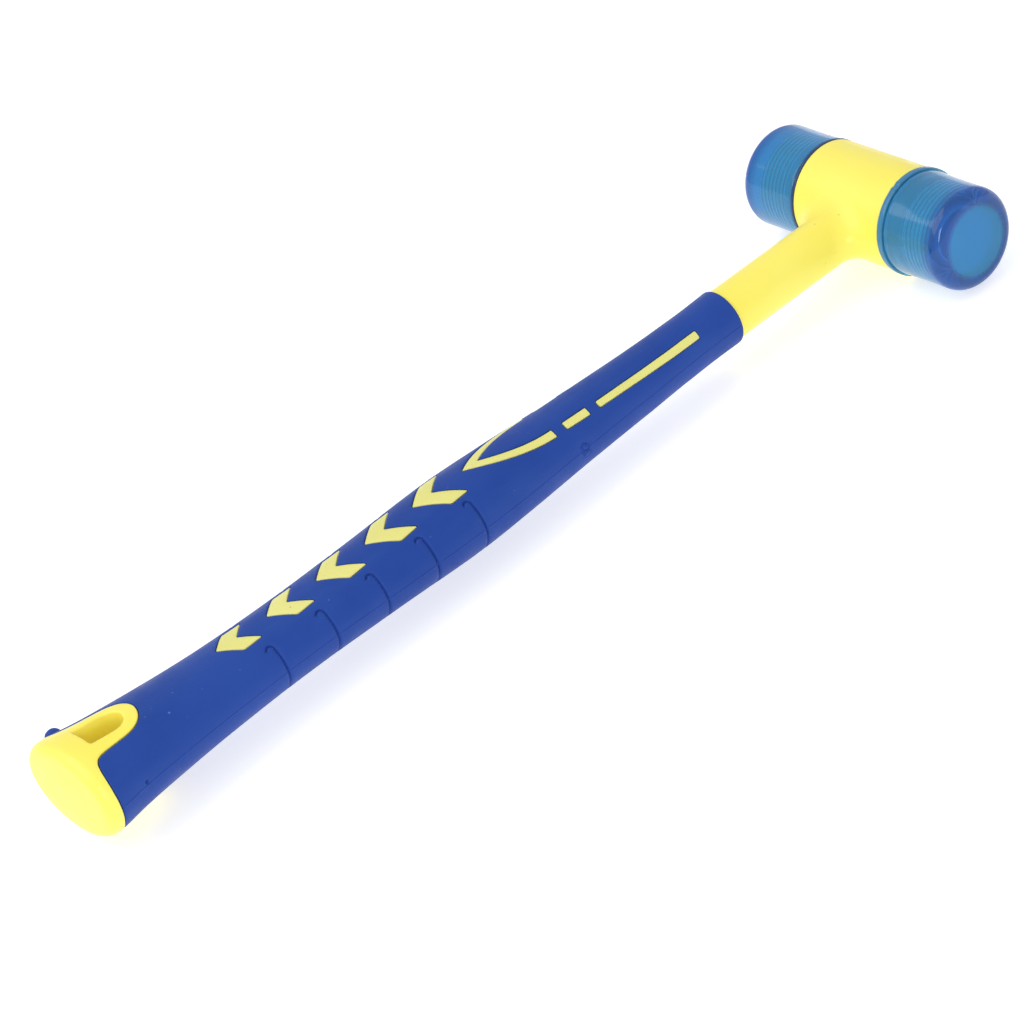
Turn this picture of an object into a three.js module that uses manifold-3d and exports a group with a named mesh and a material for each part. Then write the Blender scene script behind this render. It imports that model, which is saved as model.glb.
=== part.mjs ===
// Two-way soft-face mallet, millimetres, lying on its side.
// Inside the model the head axis runs along Y, the handle runs towards -X and Z is up. The finished group is
// moved so that its origin is at the bottom centre of the overall box.
import * as THREE from 'three';
import { mergeVertices } from 'three/addons/utils/BufferGeometryUtils.js';
import Module from 'manifold-3d';

const wasm = await Module();
wasm.setup();

// Clearance between moulded or assembled pieces.
const GAP = 0.3;

// The thread that holds both faces sets the width of all that surrounds it.
const THREAD_RADIUS = 11;

// Hub: the cylinder of the moulded body that carries both faces.
const HUB_RADIUS = 17.5;
const HUB_HALF_LENGTH = 19.8;
const HUB_EDGE = 0.5;
const SPIGOT_RADIUS = THREAD_RADIUS + 2.4;
const SPIGOT_LENGTH = 4.7;

// Steel core: a weight moulded into the hub, with a threaded stud at each end.
const CORE_RADIUS = THREAD_RADIUS + 1.2;
const CORE_HALF_LENGTH = 16.5;
const CORE_CHAMFER = 0.8;
const THREAD_DEPTH = 0.9;
const THREAD_PITCH = 1.75;
const THREAD_CREST = 0.22;
const THREAD_FLANK = THREAD_DEPTH * Math.tan(Math.PI / 6);
const THREAD_RUNOUT = 0.9;
const THREAD_SEGMENTS = 18;
const STUD_CHAMFER = 1;
const SHANK_RADIUS = THREAD_RADIUS - THREAD_DEPTH;

// Seat washers between hub and faces.
const FRONT_WASHER_THICKNESS = 1.8;
const FRONT_WASHER_RADIUS = HUB_RADIUS + 0.5;
const REAR_WASHER_THICKNESS = 0.8;
const REAR_WASHER_RADIUS = HUB_RADIUS + 0.1;
const WASHER_EDGE = 0.25;

// Screw-on faces: both are the same moulding.
const FACE_LENGTH = 24.8;
const FACE_MOUTH_RADIUS = HUB_RADIUS - 0.2;
const FACE_WAIST_RADIUS = HUB_RADIUS - 0.8;
const FACE_BULGE_RADIUS = HUB_RADIUS - 0.5;
const FACE_ROUNDING = 4.2;
const FACE_MOUTH_CHAMFER = 0.5;
const FACE_WAIST_PLACE = 9;
const FACE_BULGE_PLACE = 18.5;
const FACE_END_THICKNESS = 6.3;
const FACE_RELIEF_DEPTH = 5;

// Handle: a shank, a grip and a butt cap, measured from the head axis.
const SHANK_OUTER_RADIUS = 8.85;
const SHANK_LENGTH = 69.5;
const GRIP_LENGTH = 266.8;
const CAP_LENGTH = 6.4;
const CAP_ROUNDING = 5.5;
const HUB_FILLET = 11;
const SLEEVE_WALL = 1.9;
const SLEEVE_END_WALL = 1;
const SLEEVE_TAPER_LENGTH = 30;
const INLAY_RECESS = 0.2;

// How far the grip's half depth (in the swing plane) and half thickness exceed the shank's radius, at
// fractions of the grip's length from the head end.
const GRIP_STATIONS = [
  [0.00, 0.6, 0.6],
  [0.05, 0.75, 0.75],
  [0.12, 1.35, 0.95],
  [0.26, 3.55, 2.05],
  [0.36, 5.75, 2.95],
  [0.45, 6.65, 3.65],
  [0.57, 6.05, 2.65],
  [0.70, 5.45, 2.35],
  [0.82, 6.45, 3.15],
  [0.94, 9.55, 4.95],
  [1.00, 12.35, 6.35],
];
const GRIP_STEPS = 12;
const GRIP_SIDES = 24;

// Reinforcing rod in the handle.
const ROD_RADIUS = 4.5;
const ROD_SOCKET_DEPTH = 4.5;
const ROD_TO_SLOT = 8;

// Butt tongue and hang slot.
const TONGUE_LENGTH = 24;
const TONGUE_HALF_WIDTH = 9;
const TONGUE_TIP_HALF_WIDTH = 5.6;
const SLOT_LENGTH = 15;
const SLOT_HALF_WIDTH = 5.2;
const SLOT_TO_TIP = 4.6;
const SLOT_CORNER = 1;

// Inlays: yellow pads of the body that show through windows in the upper side of the grip.
const CHEVRON_FIRST_TIP = 56.3;
const CHEVRON_PITCH = 20;
const CHEVRON_DEPTH = 8.2;
const CHEVRON_HALF_WIDTH = 6;
const CHEVRON_WIDTH_GROWTH = 0.55;
const CHEVRON_RISE = 5.7;
const CHEVRON_RISE_GROWTH = 0.7;
const BAR_TO_GRIP_END = 16.1;
const BAR_LENGTH = 43.9;
const BAR_WIDTH = 2.2;
const BAR_NEAR_OFFSET = 7.2;
const BAR_FAR_OFFSET = 7.8;
const DASH_LENGTH = 9.7;
const INLAY_SPACE = 4.3;
const DROP_LENGTH = 31;
const DROP_TIP_LENGTH = 6;
const DROP_BAND = 2.4;

const ROUND_SEGMENTS = 36;

// Cutting solids run past the surface that they cut, and joined solids reach into each other.
const CUT_OVERRUN = 1;
const JOIN_OVERLAP = 0.5;
const PRISM_HALF_HEIGHT = 40;

// Distances from the head's middle to the seats, the mouths of the faces and the ends of the studs.
const washerStart = HUB_HALF_LENGTH + GAP;
const frontMouth = washerStart + FRONT_WASHER_THICKNESS + GAP;
const rearMouth = washerStart + REAR_WASHER_THICKNESS + GAP;
const boreDepth = FACE_LENGTH - FACE_END_THICKNESS;
const studReach = Math.min(frontMouth, rearMouth) + boreDepth - GAP;
const threadLength = boreDepth - FACE_RELIEF_DEPTH - THREAD_RUNOUT;

// Places along X of the handle's stations.
const gripHeadX = -SHANK_LENGTH;
const gripButtX = -(SHANK_LENGTH + GRIP_LENGTH);
const buttX = gripButtX - CAP_LENGTH;
const tongueTipX = gripButtX + TONGUE_LENGTH;
const slotFarX = tongueTipX - SLOT_TO_TIP;
const slotNearX = slotFarX - SLOT_LENGTH;
const rodEndX = slotFarX + ROD_TO_SLOT;

// ---------------------------------------------------------------- solids

function toSolid(geometry) {
  const bare = geometry.clone();
  bare.deleteAttribute('normal');
  bare.deleteAttribute('uv');
  const merged = mergeVertices(bare, 1e-4);
  return new wasm.Manifold(new wasm.Mesh({
    numProp: 3,
    vertProperties: new Float32Array(merged.attributes.position.array),
    triVerts: new Uint32Array(merged.index.array),
  }));
}

function toGeometry(solid) {
  const mesh = solid.getMesh();
  const geometry = new THREE.BufferGeometry();
  geometry.setAttribute('position', new THREE.BufferAttribute(new Float32Array(mesh.vertProperties), 3));
  geometry.setIndex(new THREE.BufferAttribute(new Uint32Array(mesh.triVerts), 1));
  geometry.computeVertexNormals();
  return geometry;
}

// A solid of revolution about Y: the outline is a list of [radius, y] with y rising.
function turned(outline, segments = ROUND_SEGMENTS) {
  const points = outline.map(([radius, y]) => new THREE.Vector2(radius, y));
  return toSolid(new THREE.LatheGeometry(points, segments));
}

// A prism along Z, by default through the whole handle, from an outline of [x, y] points.
function prism(outline, low = -PRISM_HALF_HEIGHT, high = PRISM_HALF_HEIGHT) {
  const shape = new THREE.Shape(outline.map(([x, y]) => new THREE.Vector2(x, y)));
  const geometry = new THREE.ExtrudeGeometry(shape, { depth: high - low, bevelEnabled: false, steps: 1 });
  geometry.translate(0, 0, low);
  return toSolid(geometry);
}

// Moves each side of a convex-ish outline outwards by a distance.
function grown(outline, distance) {
  const area = THREE.ShapeUtils.area(outline.map(([x, y]) => new THREE.Vector2(x, y)));
  const turn = Math.sign(area);
  const count = outline.length;
  return outline.map((point, i) => {
    const before = outline[(i + count - 1) % count];
    const after = outline[(i + 1) % count];
    const inward = new THREE.Vector2(point[0] - before[0], point[1] - before[1]).normalize();
    const outward = new THREE.Vector2(after[0] - point[0], after[1] - point[1]).normalize();
    const normalA = new THREE.Vector2(inward.y, -inward.x).multiplyScalar(turn);
    const normalB = new THREE.Vector2(outward.y, -outward.x).multiplyScalar(turn);
    const mitre = normalA.clone().add(normalB).normalize();
    const reach = distance / Math.max(mitre.dot(normalA), 0.4);
    return [point[0] + mitre.x * reach, point[1] + mitre.y * reach];
  });
}

function mirrored(outline) {
  return outline.map(([x, y]) => [x, -y]).reverse();
}

// ---------------------------------------------------------------- threads

// A right-hand threaded rod along Y, longer than [start, end], then trimmed by the solid that is passed in.
// grow moves every surface outwards by that distance, for the cut in the mating piece.
function threadedRod(start, end, grow, trim) {
  const radiusRoot = SHANK_RADIUS + grow;
  const radiusCrest = THREAD_RADIUS + grow;
  const shift = grow / Math.cos(Math.PI / 6) - grow * Math.tan(Math.PI / 6);
  const crestHalf = THREAD_CREST / 2 + shift;
  const middle = THREAD_PITCH / 2;
  const profile = [
    [radiusRoot, middle - crestHalf - THREAD_FLANK],
    [radiusCrest, middle - crestHalf],
    [radiusCrest, middle + crestHalf],
    [radiusRoot, middle + crestHalf + THREAD_FLANK],
  ];
  const firstTurn = Math.floor(start / THREAD_PITCH) - 2;
  const turns = Math.ceil((end - start) / THREAD_PITCH) + 4;
  const columns = turns * THREAD_SEGMENTS;
  const positions = [];
  const index = [];
  const place = (column, [radius, along]) => {
    const angle = (2 * Math.PI * column) / THREAD_SEGMENTS;
    const y = THREAD_PITCH * (firstTurn + column / THREAD_SEGMENTS) + along;
    positions.push(radius * Math.sin(angle), y, radius * Math.cos(angle));
  };
  for (let column = 0; column <= columns; column += 1) {
    profile.forEach((point) => place(column, point));
  }
  for (let column = columns + 1; column <= columns + THREAD_SEGMENTS; column += 1) {
    place(column, profile[0]);
  }
  const vertex = (column, step) => {
    if (step === profile.length) {
      return vertex(column + THREAD_SEGMENTS, 0);
    }
    if (column <= columns) {
      return column * profile.length + step;
    }
    return (columns + 1) * profile.length + column - columns - 1;
  };
  for (let column = 0; column < columns; column += 1) {
    for (let step = 0; step < profile.length; step += 1) {
      const a = vertex(column, step);
      const b = vertex(column + 1, step);
      const c = vertex(column + 1, step + 1);
      const d = vertex(column, step + 1);
      index.push(a, b, c, a, c, d);
    }
  }
  const capWith = (loop, y) => {
    const centre = positions.length / 3;
    positions.push(0, y, 0);
    loop.forEach((from, i) => index.push(centre, from, loop[(i + 1) % loop.length]));
  };
  const bottom = [];
  for (let step = profile.length; step > 0; step -= 1) {
    bottom.push(vertex(0, step));
  }
  const bottomRamp = [];
  for (let column = 0; column < THREAD_SEGMENTS; column += 1) {
    bottomRamp.push(vertex(column, 0));
  }
  capWith([...bottomRamp, ...bottom].reverse(), THREAD_PITCH * (firstTurn + 0.5));
  const top = [];
  for (let step = 0; step < profile.length; step += 1) {
    top.push(vertex(columns, step));
  }
  const topRamp = [];
  for (let column = columns + THREAD_SEGMENTS; column > columns; column -= 1) {
    topRamp.push(vertex(column, 0));
  }
  capWith([...topRamp, ...top].reverse(), THREAD_PITCH * (firstTurn + turns + 0.5));
  const rod = new wasm.Manifold(new wasm.Mesh({
    numProp: 3,
    vertProperties: new Float32Array(positions),
    triVerts: new Uint32Array(index),
  }));
  return rod.intersect(trim);
}

// ---------------------------------------------------------------- handle sections

// Sizes are scaled down so that the curve's own spacing follows the length alone.
const CURVE_SCALE = 100;
const CURVE_SEARCH_STEPS = 30;
const depthCurve = new THREE.CatmullRomCurve3(
  GRIP_STATIONS.map(([along, depth, thickness]) => new THREE.Vector3(
    along,
    (SHANK_OUTER_RADIUS + depth) / CURVE_SCALE,
    (SHANK_OUTER_RADIUS + thickness) / CURVE_SCALE,
  )),
);

// Half depth and half thickness of the handle's outer surface at X.
function sectionAt(x) {
  if (x >= gripHeadX) {
    return [SHANK_OUTER_RADIUS, SHANK_OUTER_RADIUS];
  }
  const wanted = Math.min((gripHeadX - x) / GRIP_LENGTH, 1);
  let low = 0;
  let high = 1;
  for (let i = 0; i < CURVE_SEARCH_STEPS; i += 1) {
    const middle = (low + high) / 2;
    if (depthCurve.getPoint(middle).x < wanted) {
      low = middle;
    } else {
      high = middle;
    }
  }
  const point = depthCurve.getPoint((low + high) / 2);
  return [point.y * CURVE_SCALE, point.z * CURVE_SCALE];
}

function sleeveWallAt(x) {
  const along = Math.min(Math.max((gripHeadX - x) / SLEEVE_TAPER_LENGTH, 0), 1);
  return SLEEVE_END_WALL + (SLEEVE_WALL - SLEEVE_END_WALL) * along;
}

// A solid along X through oval sections: a unit lathe whose rings take their size from rings = [x, halfY, halfZ].
function lofted(rings, sides = GRIP_SIDES) {
  const first = rings[0];
  const last = rings[rings.length - 1];
  const outline = [
    new THREE.Vector2(0, first[0]),
    ...rings.map(([x]) => new THREE.Vector2(1, x)),
    new THREE.Vector2(0, last[0]),
  ];
  const geometry = new THREE.LatheGeometry(outline, sides);
  geometry.rotateZ(-Math.PI / 2);
  const position = geometry.attributes.position;
  const sizes = [[first[1], first[2]], ...rings.map(([, y, z]) => [y, z]), [last[1], last[2]]];
  for (let i = 0; i < position.count; i += 1) {
    const [halfY, halfZ] = sizes[i % sizes.length];
    position.setXYZ(i, position.getX(i), position.getY(i) * halfY, position.getZ(i) * halfZ);
  }
  return toSolid(geometry);
}

// Rings of the grip between two places, moved inwards by inset(x).
function gripRings(from, to, inset) {
  const rings = [];
  for (let i = 0; i <= GRIP_STEPS; i += 1) {
    const x = from + ((to - from) * i) / GRIP_STEPS;
    const [halfY, halfZ] = sectionAt(x);
    rings.push([x, halfY - inset(x), halfZ - inset(x)]);
  }
  return rings;
}

// ---------------------------------------------------------------- outlines on the grip

function arc(centre, radius, from, to, steps) {
  const points = [];
  for (let i = 0; i <= steps; i += 1) {
    const angle = from + ((to - from) * i) / steps;
    points.push([centre[0] + radius * Math.cos(angle), centre[1] + radius * Math.sin(angle)]);
  }
  return points;
}

function tongueOutline() {
  const base = buttX - GAP;
  const shoulder = tongueTipX - TONGUE_TIP_HALF_WIDTH * 1.5;
  const tip = arc([0, 0], 1, -Math.PI / 2, Math.PI / 2, 8)
    .map(([x, y]) => [tongueTipX - TONGUE_TIP_HALF_WIDTH + x * TONGUE_TIP_HALF_WIDTH, y * TONGUE_TIP_HALF_WIDTH]);
  return [
    [base, -TONGUE_HALF_WIDTH],
    [shoulder, -TONGUE_HALF_WIDTH],
    ...tip,
    [shoulder, TONGUE_HALF_WIDTH],
    [base, TONGUE_HALF_WIDTH],
  ];
}

// Straight across towards the butt, half round towards the grip.
function slotOutline() {
  const straight = SLOT_HALF_WIDTH - SLOT_CORNER;
  const round = arc([0, 0], 1, -Math.PI / 2, Math.PI / 2, 8)
    .map(([x, y]) => [slotFarX - SLOT_HALF_WIDTH + x * SLOT_HALF_WIDTH, y * SLOT_HALF_WIDTH]);
  return [
    ...arc([slotNearX + SLOT_CORNER, straight], SLOT_CORNER, Math.PI / 2, Math.PI, 2),
    ...arc([slotNearX + SLOT_CORNER, -straight], SLOT_CORNER, Math.PI, 1.5 * Math.PI, 2),
    ...round,
  ];
}

function chevronOutline(tipX, halfWidth, rise) {
  return [
    [tipX, 0],
    [tipX + rise, -halfWidth],
    [tipX + CHEVRON_DEPTH + rise, -halfWidth],
    [tipX + CHEVRON_DEPTH, 0],
    [tipX + CHEVRON_DEPTH + rise, halfWidth],
    [tipX + rise, halfWidth],
  ];
}

function stripe(fromX, fromY, toX, toY, width) {
  const along = new THREE.Vector2(toX - fromX, toY - fromY).normalize();
  const side = new THREE.Vector2(-along.y, along.x).multiplyScalar(width / 2);
  return [
    [fromX - side.x, fromY - side.y],
    [toX - side.x, toY - side.y],
    [toX + side.x, toY + side.y],
    [fromX + side.x, fromY + side.y],
  ];
}

// A drop that is open towards the head: two arms from one tip.
function dropOutline(tipX) {
  const openX = tipX + DROP_LENGTH;
  const reach = BAR_FAR_OFFSET;
  const steps = 5;
  const outer = [];
  const inner = [];
  for (let i = 0; i <= steps; i += 1) {
    const t = i / steps;
    outer.push([tipX + DROP_LENGTH * t, (reach + DROP_BAND / 2) * Math.sqrt(1 - (1 - t) ** 2.4)]);
    const from = tipX + DROP_TIP_LENGTH;
    inner.push([from + (openX - from) * t, (reach - DROP_BAND / 2) * Math.sqrt(1 - (1 - t) ** 2.2)]);
  }
  return [
    ...outer,
    ...inner.reverse(),
    ...inner.slice().reverse().slice(1).map(([x, y]) => [x, -y]),
    ...outer.slice().reverse().slice(0, -1).map(([x, y]) => [x, -y]),
  ];
}

const barEndX = gripHeadX - BAR_TO_GRIP_END;
const barStartX = barEndX - BAR_LENGTH;
const dashEndX = barStartX - INLAY_SPACE;
const dashStartX = dashEndX - DASH_LENGTH;
const dropTipX = dashStartX - INLAY_SPACE - DROP_LENGTH;

function inlayOutlines() {
  const outlines = [];
  const firstTip = gripButtX + CHEVRON_FIRST_TIP;
  const room = dropTipX - firstTip;
  const count = Math.max(Math.floor(room / CHEVRON_PITCH + 0.01), 0);
  for (let i = 0; i < count; i += 1) {
    const tipX = firstTip + CHEVRON_PITCH * i;
    const halfWidth = CHEVRON_HALF_WIDTH + CHEVRON_WIDTH_GROWTH * i;
    outlines.push(chevronOutline(tipX, halfWidth, CHEVRON_RISE + CHEVRON_RISE_GROWTH * i));
  }
  outlines.push(dropOutline(dropTipX));
  const slope = (BAR_FAR_OFFSET - BAR_NEAR_OFFSET) / (barEndX - dashStartX);
  const offsetAt = (x) => BAR_FAR_OFFSET - slope * (x - dashStartX);
  const stripes = [
    stripe(dashStartX, offsetAt(dashStartX), dashEndX, offsetAt(dashEndX), BAR_WIDTH),
    stripe(barStartX, offsetAt(barStartX), barEndX, offsetAt(barEndX), BAR_WIDTH),
  ];
  stripes.forEach((outline) => outlines.push(outline, mirrored(outline)));
  return outlines;
}

// ---------------------------------------------------------------- pieces

const bodyEndHole = SHANK_RADIUS + GAP;
const coreRoom = CORE_RADIUS + GAP;
const rodRoom = ROD_RADIUS + GAP;

// Depth of the hub fillet's sections at X: the shank widens to meet the hub.
function filletRings() {
  const rings = [];
  const startX = -(HUB_RADIUS + HUB_FILLET);
  const steps = 6;
  const rise = SHANK_OUTER_RADIUS + HUB_FILLET;
  const topCentreX = -Math.sqrt((HUB_RADIUS + HUB_FILLET) ** 2 - rise ** 2);
  const topEndX = (topCentreX * HUB_RADIUS) / (HUB_RADIUS + HUB_FILLET);
  rings.push([gripHeadX + GAP, SHANK_OUTER_RADIUS, SHANK_OUTER_RADIUS]);
  for (let i = 0; i <= steps; i += 1) {
    const angle = (Math.PI / 2) * (i / steps);
    const x = startX + HUB_FILLET * Math.sin(angle);
    const halfY = Math.min(rise - HUB_FILLET * Math.cos(angle), HUB_HALF_LENGTH - HUB_EDGE);
    const over = Math.min(Math.max(x - topCentreX, 0), topEndX - topCentreX);
    const halfZ = rise - Math.sqrt(HUB_FILLET ** 2 - over ** 2);
    rings.push([x, halfY, halfZ]);
  }
  const last = rings[rings.length - 1];
  rings.push([-CORE_RADIUS, last[1], rise - Math.sqrt(HUB_FILLET ** 2 - (topEndX - topCentreX) ** 2)]);
  return rings;
}

function hubSolid() {
  const end = HUB_HALF_LENGTH;
  const spigot = end + SPIGOT_LENGTH;
  return turned([
    [0, -spigot],
    [SPIGOT_RADIUS - HUB_EDGE, -spigot],
    [SPIGOT_RADIUS, -spigot + HUB_EDGE],
    [SPIGOT_RADIUS, -end],
    [HUB_RADIUS - HUB_EDGE, -end],
    [HUB_RADIUS, -end + HUB_EDGE],
    [HUB_RADIUS, end - HUB_EDGE],
    [HUB_RADIUS - HUB_EDGE, end],
    [SPIGOT_RADIUS, end],
    [SPIGOT_RADIUS, spigot - HUB_EDGE],
    [SPIGOT_RADIUS - HUB_EDGE, spigot],
    [0, spigot],
  ]);
}

// The butt cap's outer surface, rounded over at its end.
function capRings() {
  const rings = [];
  const [halfY, halfZ] = sectionAt(gripButtX);
  const steps = 5;
  rings.push([gripButtX, halfY, halfZ]);
  for (let i = 0; i < steps; i += 1) {
    const angle = (Math.PI / 2) * (i / steps);
    const x = buttX + CAP_ROUNDING - CAP_ROUNDING * Math.sin(angle);
    const back = CAP_ROUNDING * (1 - Math.cos(angle));
    rings.push([x, halfY - back, halfZ - back]);
  }
  rings.push([buttX, halfY - CAP_ROUNDING, halfZ - CAP_ROUNDING]);
  return rings;
}

function rodSolid(radius, fromX, toX) {
  const geometry = new THREE.CylinderGeometry(radius, radius, toX - fromX, 18);
  geometry.rotateZ(Math.PI / 2);
  geometry.translate((fromX + toX) / 2, 0, 0);
  return toSolid(geometry);
}

function bodySolid() {
  const buried = (x) => sleeveWallAt(x) + GAP;
  const kernel = lofted(gripRings(gripHeadX + SLEEVE_END_WALL, gripButtX, buried).reverse());
  const flush = lofted(gripRings(gripHeadX - GAP, gripButtX, () => INLAY_RECESS).reverse());
  const cap = lofted(capRings().reverse());
  let pads = prism(tongueOutline()).intersect(flush);
  inlayOutlines().forEach((outline) => {
    pads = pads.add(prism(outline, 0).intersect(flush));
  });
  const shank = lofted(filletRings());
  const slot = prism(slotOutline());
  const coreSpace = turned([
    [0, -HUB_HALF_LENGTH * 2],
    [bodyEndHole, -HUB_HALF_LENGTH * 2],
    [bodyEndHole, -CORE_HALF_LENGTH - GAP],
    [coreRoom, -CORE_HALF_LENGTH - GAP],
    [coreRoom, CORE_HALF_LENGTH + GAP],
    [bodyEndHole, CORE_HALF_LENGTH + GAP],
    [bodyEndHole, HUB_HALF_LENGTH * 2],
    [0, HUB_HALF_LENGTH * 2],
  ]);
  const rodSpace = rodSolid(rodRoom, rodEndX - GAP, 0);
  return hubSolid().add(shank).add(kernel).add(cap).add(pads)
    .subtract(slot).subtract(coreSpace).subtract(rodSpace);
}

function sleeveSolid() {
  const outer = lofted(gripRings(gripHeadX, gripButtX + GAP, () => 0).reverse());
  const inner = lofted(gripRings(gripHeadX + CUT_OVERRUN, gripButtX - CUT_OVERRUN, sleeveWallAt).reverse());
  let sleeve = outer.subtract(inner).subtract(prism(grown(tongueOutline(), GAP)));
  inlayOutlines().forEach((outline) => {
    sleeve = sleeve.subtract(prism(grown(outline, GAP), 0));
  });
  return sleeve;
}

function coreSolid() {
  const blank = turned([
    [0, -studReach],
    [THREAD_RADIUS - STUD_CHAMFER, -studReach],
    [THREAD_RADIUS, -studReach + STUD_CHAMFER],
    [THREAD_RADIUS, -studReach + threadLength],
    [0, -studReach + threadLength],
  ], THREAD_SEGMENTS);
  const stud = threadedRod(-studReach, -studReach + threadLength, 0, blank);
  const otherBlank = turned([
    [0, studReach - threadLength],
    [THREAD_RADIUS, studReach - threadLength],
    [THREAD_RADIUS, studReach - STUD_CHAMFER],
    [THREAD_RADIUS - STUD_CHAMFER, studReach],
    [0, studReach],
  ], THREAD_SEGMENTS);
  const otherStud = threadedRod(studReach - threadLength, studReach, 0, otherBlank);
  const shankEnd = studReach - threadLength + JOIN_OVERLAP;
  const middle = turned([
    [0, -shankEnd],
    [SHANK_RADIUS, -shankEnd],
    [SHANK_RADIUS, -CORE_HALF_LENGTH],
    [CORE_RADIUS - CORE_CHAMFER, -CORE_HALF_LENGTH],
    [CORE_RADIUS, -CORE_HALF_LENGTH + CORE_CHAMFER],
    [CORE_RADIUS, CORE_HALF_LENGTH - CORE_CHAMFER],
    [CORE_RADIUS - CORE_CHAMFER, CORE_HALF_LENGTH],
    [SHANK_RADIUS, CORE_HALF_LENGTH],
    [SHANK_RADIUS, shankEnd],
    [0, shankEnd],
  ]);
  const socket = rodSolid(rodRoom, -CORE_RADIUS * 2, -CORE_RADIUS + ROD_SOCKET_DEPTH);
  return middle.add(stud).add(otherStud).subtract(socket);
}

// A face with its mouth at Y = mouth, pointing along side (-1 front, +1 rear).
function faceSolid(mouth, side) {
  const end = FACE_LENGTH;
  const roundCentre = [FACE_BULGE_RADIUS - FACE_ROUNDING, end - FACE_ROUNDING];
  const sweep = arc(roundCentre, FACE_ROUNDING, 0, Math.PI / 2, 5);
  const flank = new THREE.SplineCurve([
    new THREE.Vector2(FACE_MOUTH_RADIUS, FACE_MOUTH_CHAMFER),
    new THREE.Vector2(FACE_WAIST_RADIUS, FACE_WAIST_PLACE),
    new THREE.Vector2(FACE_BULGE_RADIUS, FACE_BULGE_PLACE),
  ]).getPoints(5).map((point) => [point.x, point.y]);
  const outline = [
    [0, 0],
    [FACE_MOUTH_RADIUS - FACE_MOUTH_CHAMFER, 0],
    ...flank,
    ...sweep,
    [0, end],
  ];
  const placed = outline.map(([radius, along]) => [radius, side * (mouth + along)]);
  if (side < 0) {
    placed.reverse();
  }
  const relief = SPIGOT_RADIUS + GAP;
  const reliefSpan = [side * (mouth - CUT_OVERRUN), side * (mouth + FACE_RELIEF_DEPTH)].sort((a, b) => a - b);
  const reliefSolid = turned([
    [0, reliefSpan[0]],
    [relief, reliefSpan[0]],
    [relief, reliefSpan[1]],
    [0, reliefSpan[1]],
  ]);
  const boreSpan = [side * mouth, side * (mouth + boreDepth)].sort((a, b) => a - b);
  const boreTrim = turned([
    [0, boreSpan[0]],
    [THREAD_RADIUS * 2, boreSpan[0]],
    [THREAD_RADIUS * 2, boreSpan[1]],
    [0, boreSpan[1]],
  ]);
  const bore = threadedRod(boreSpan[0], boreSpan[1], GAP, boreTrim);
  return turned(placed).subtract(reliefSolid).subtract(bore);
}

function washerSolid(from, thickness, radius, side) {
  const inner = SPIGOT_RADIUS + GAP;
  const span = [side * from, side * (from + thickness)].sort((a, b) => a - b);
  return turned([
    [inner, span[0]],
    [radius - WASHER_EDGE, span[0]],
    [radius, span[0] + WASHER_EDGE],
    [radius, span[1] - WASHER_EDGE],
    [radius - WASHER_EDGE, span[1]],
    [inner, span[1]],
    [inner, span[0]],
  ]);
}

// ---------------------------------------------------------------- assembly

const yellow = new THREE.MeshStandardMaterial({ color: 0xfff06e, roughness: 0.35, metalness: 0 });
const steel = new THREE.MeshStandardMaterial({ color: 0xb9bec4, roughness: 0.3, metalness: 1 });
const glassFibre = new THREE.MeshStandardMaterial({ color: 0xd8d2bd, roughness: 0.5, metalness: 0 });
const gripBlue = new THREE.MeshStandardMaterial({ color: 0x3558b4, roughness: 0.6, metalness: 0 });
const faceBlue = new THREE.MeshStandardMaterial({
  color: 0x2a72c0, roughness: 0.15, metalness: 0, transparent: true, opacity: 0.8,
});

const largestRadius = Math.max(HUB_RADIUS, FRONT_WASHER_RADIUS, REAR_WASHER_RADIUS, FACE_BULGE_RADIUS);
const middleX = (buttX + largestRadius) / 2;

const mallet = new THREE.Group();
mallet.name = 'mallet';
mallet.position.set(-middleX, 0, largestRadius);

function addPiece(name, solid, material) {
  const mesh = new THREE.Mesh(toGeometry(solid), material);
  mesh.name = name;
  mallet.add(mesh);
}

addPiece('head_body', bodySolid(), yellow);
addPiece('head_core', coreSolid(), steel);
addPiece('handle_rod', rodSolid(ROD_RADIUS, rodEndX, -CORE_RADIUS + ROD_SOCKET_DEPTH - GAP), glassFibre);
addPiece('grip_sleeve', sleeveSolid(), gripBlue);
addPiece('front_washer', washerSolid(washerStart, FRONT_WASHER_THICKNESS, FRONT_WASHER_RADIUS, -1), faceBlue);
addPiece('rear_washer', washerSolid(washerStart, REAR_WASHER_THICKNESS, REAR_WASHER_RADIUS, 1), faceBlue);
addPiece('front_face', faceSolid(frontMouth, -1), faceBlue);
addPiece('rear_face', faceSolid(rearMouth, 1), faceBlue);

export default mallet;
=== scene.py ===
"""Two-way soft-face mallet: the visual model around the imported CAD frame."""
import math

import bmesh
import bpy
import numpy as np
from mathutils import Matrix, Vector
from mathutils.geometry import delaunay_2d_cdt


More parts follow.
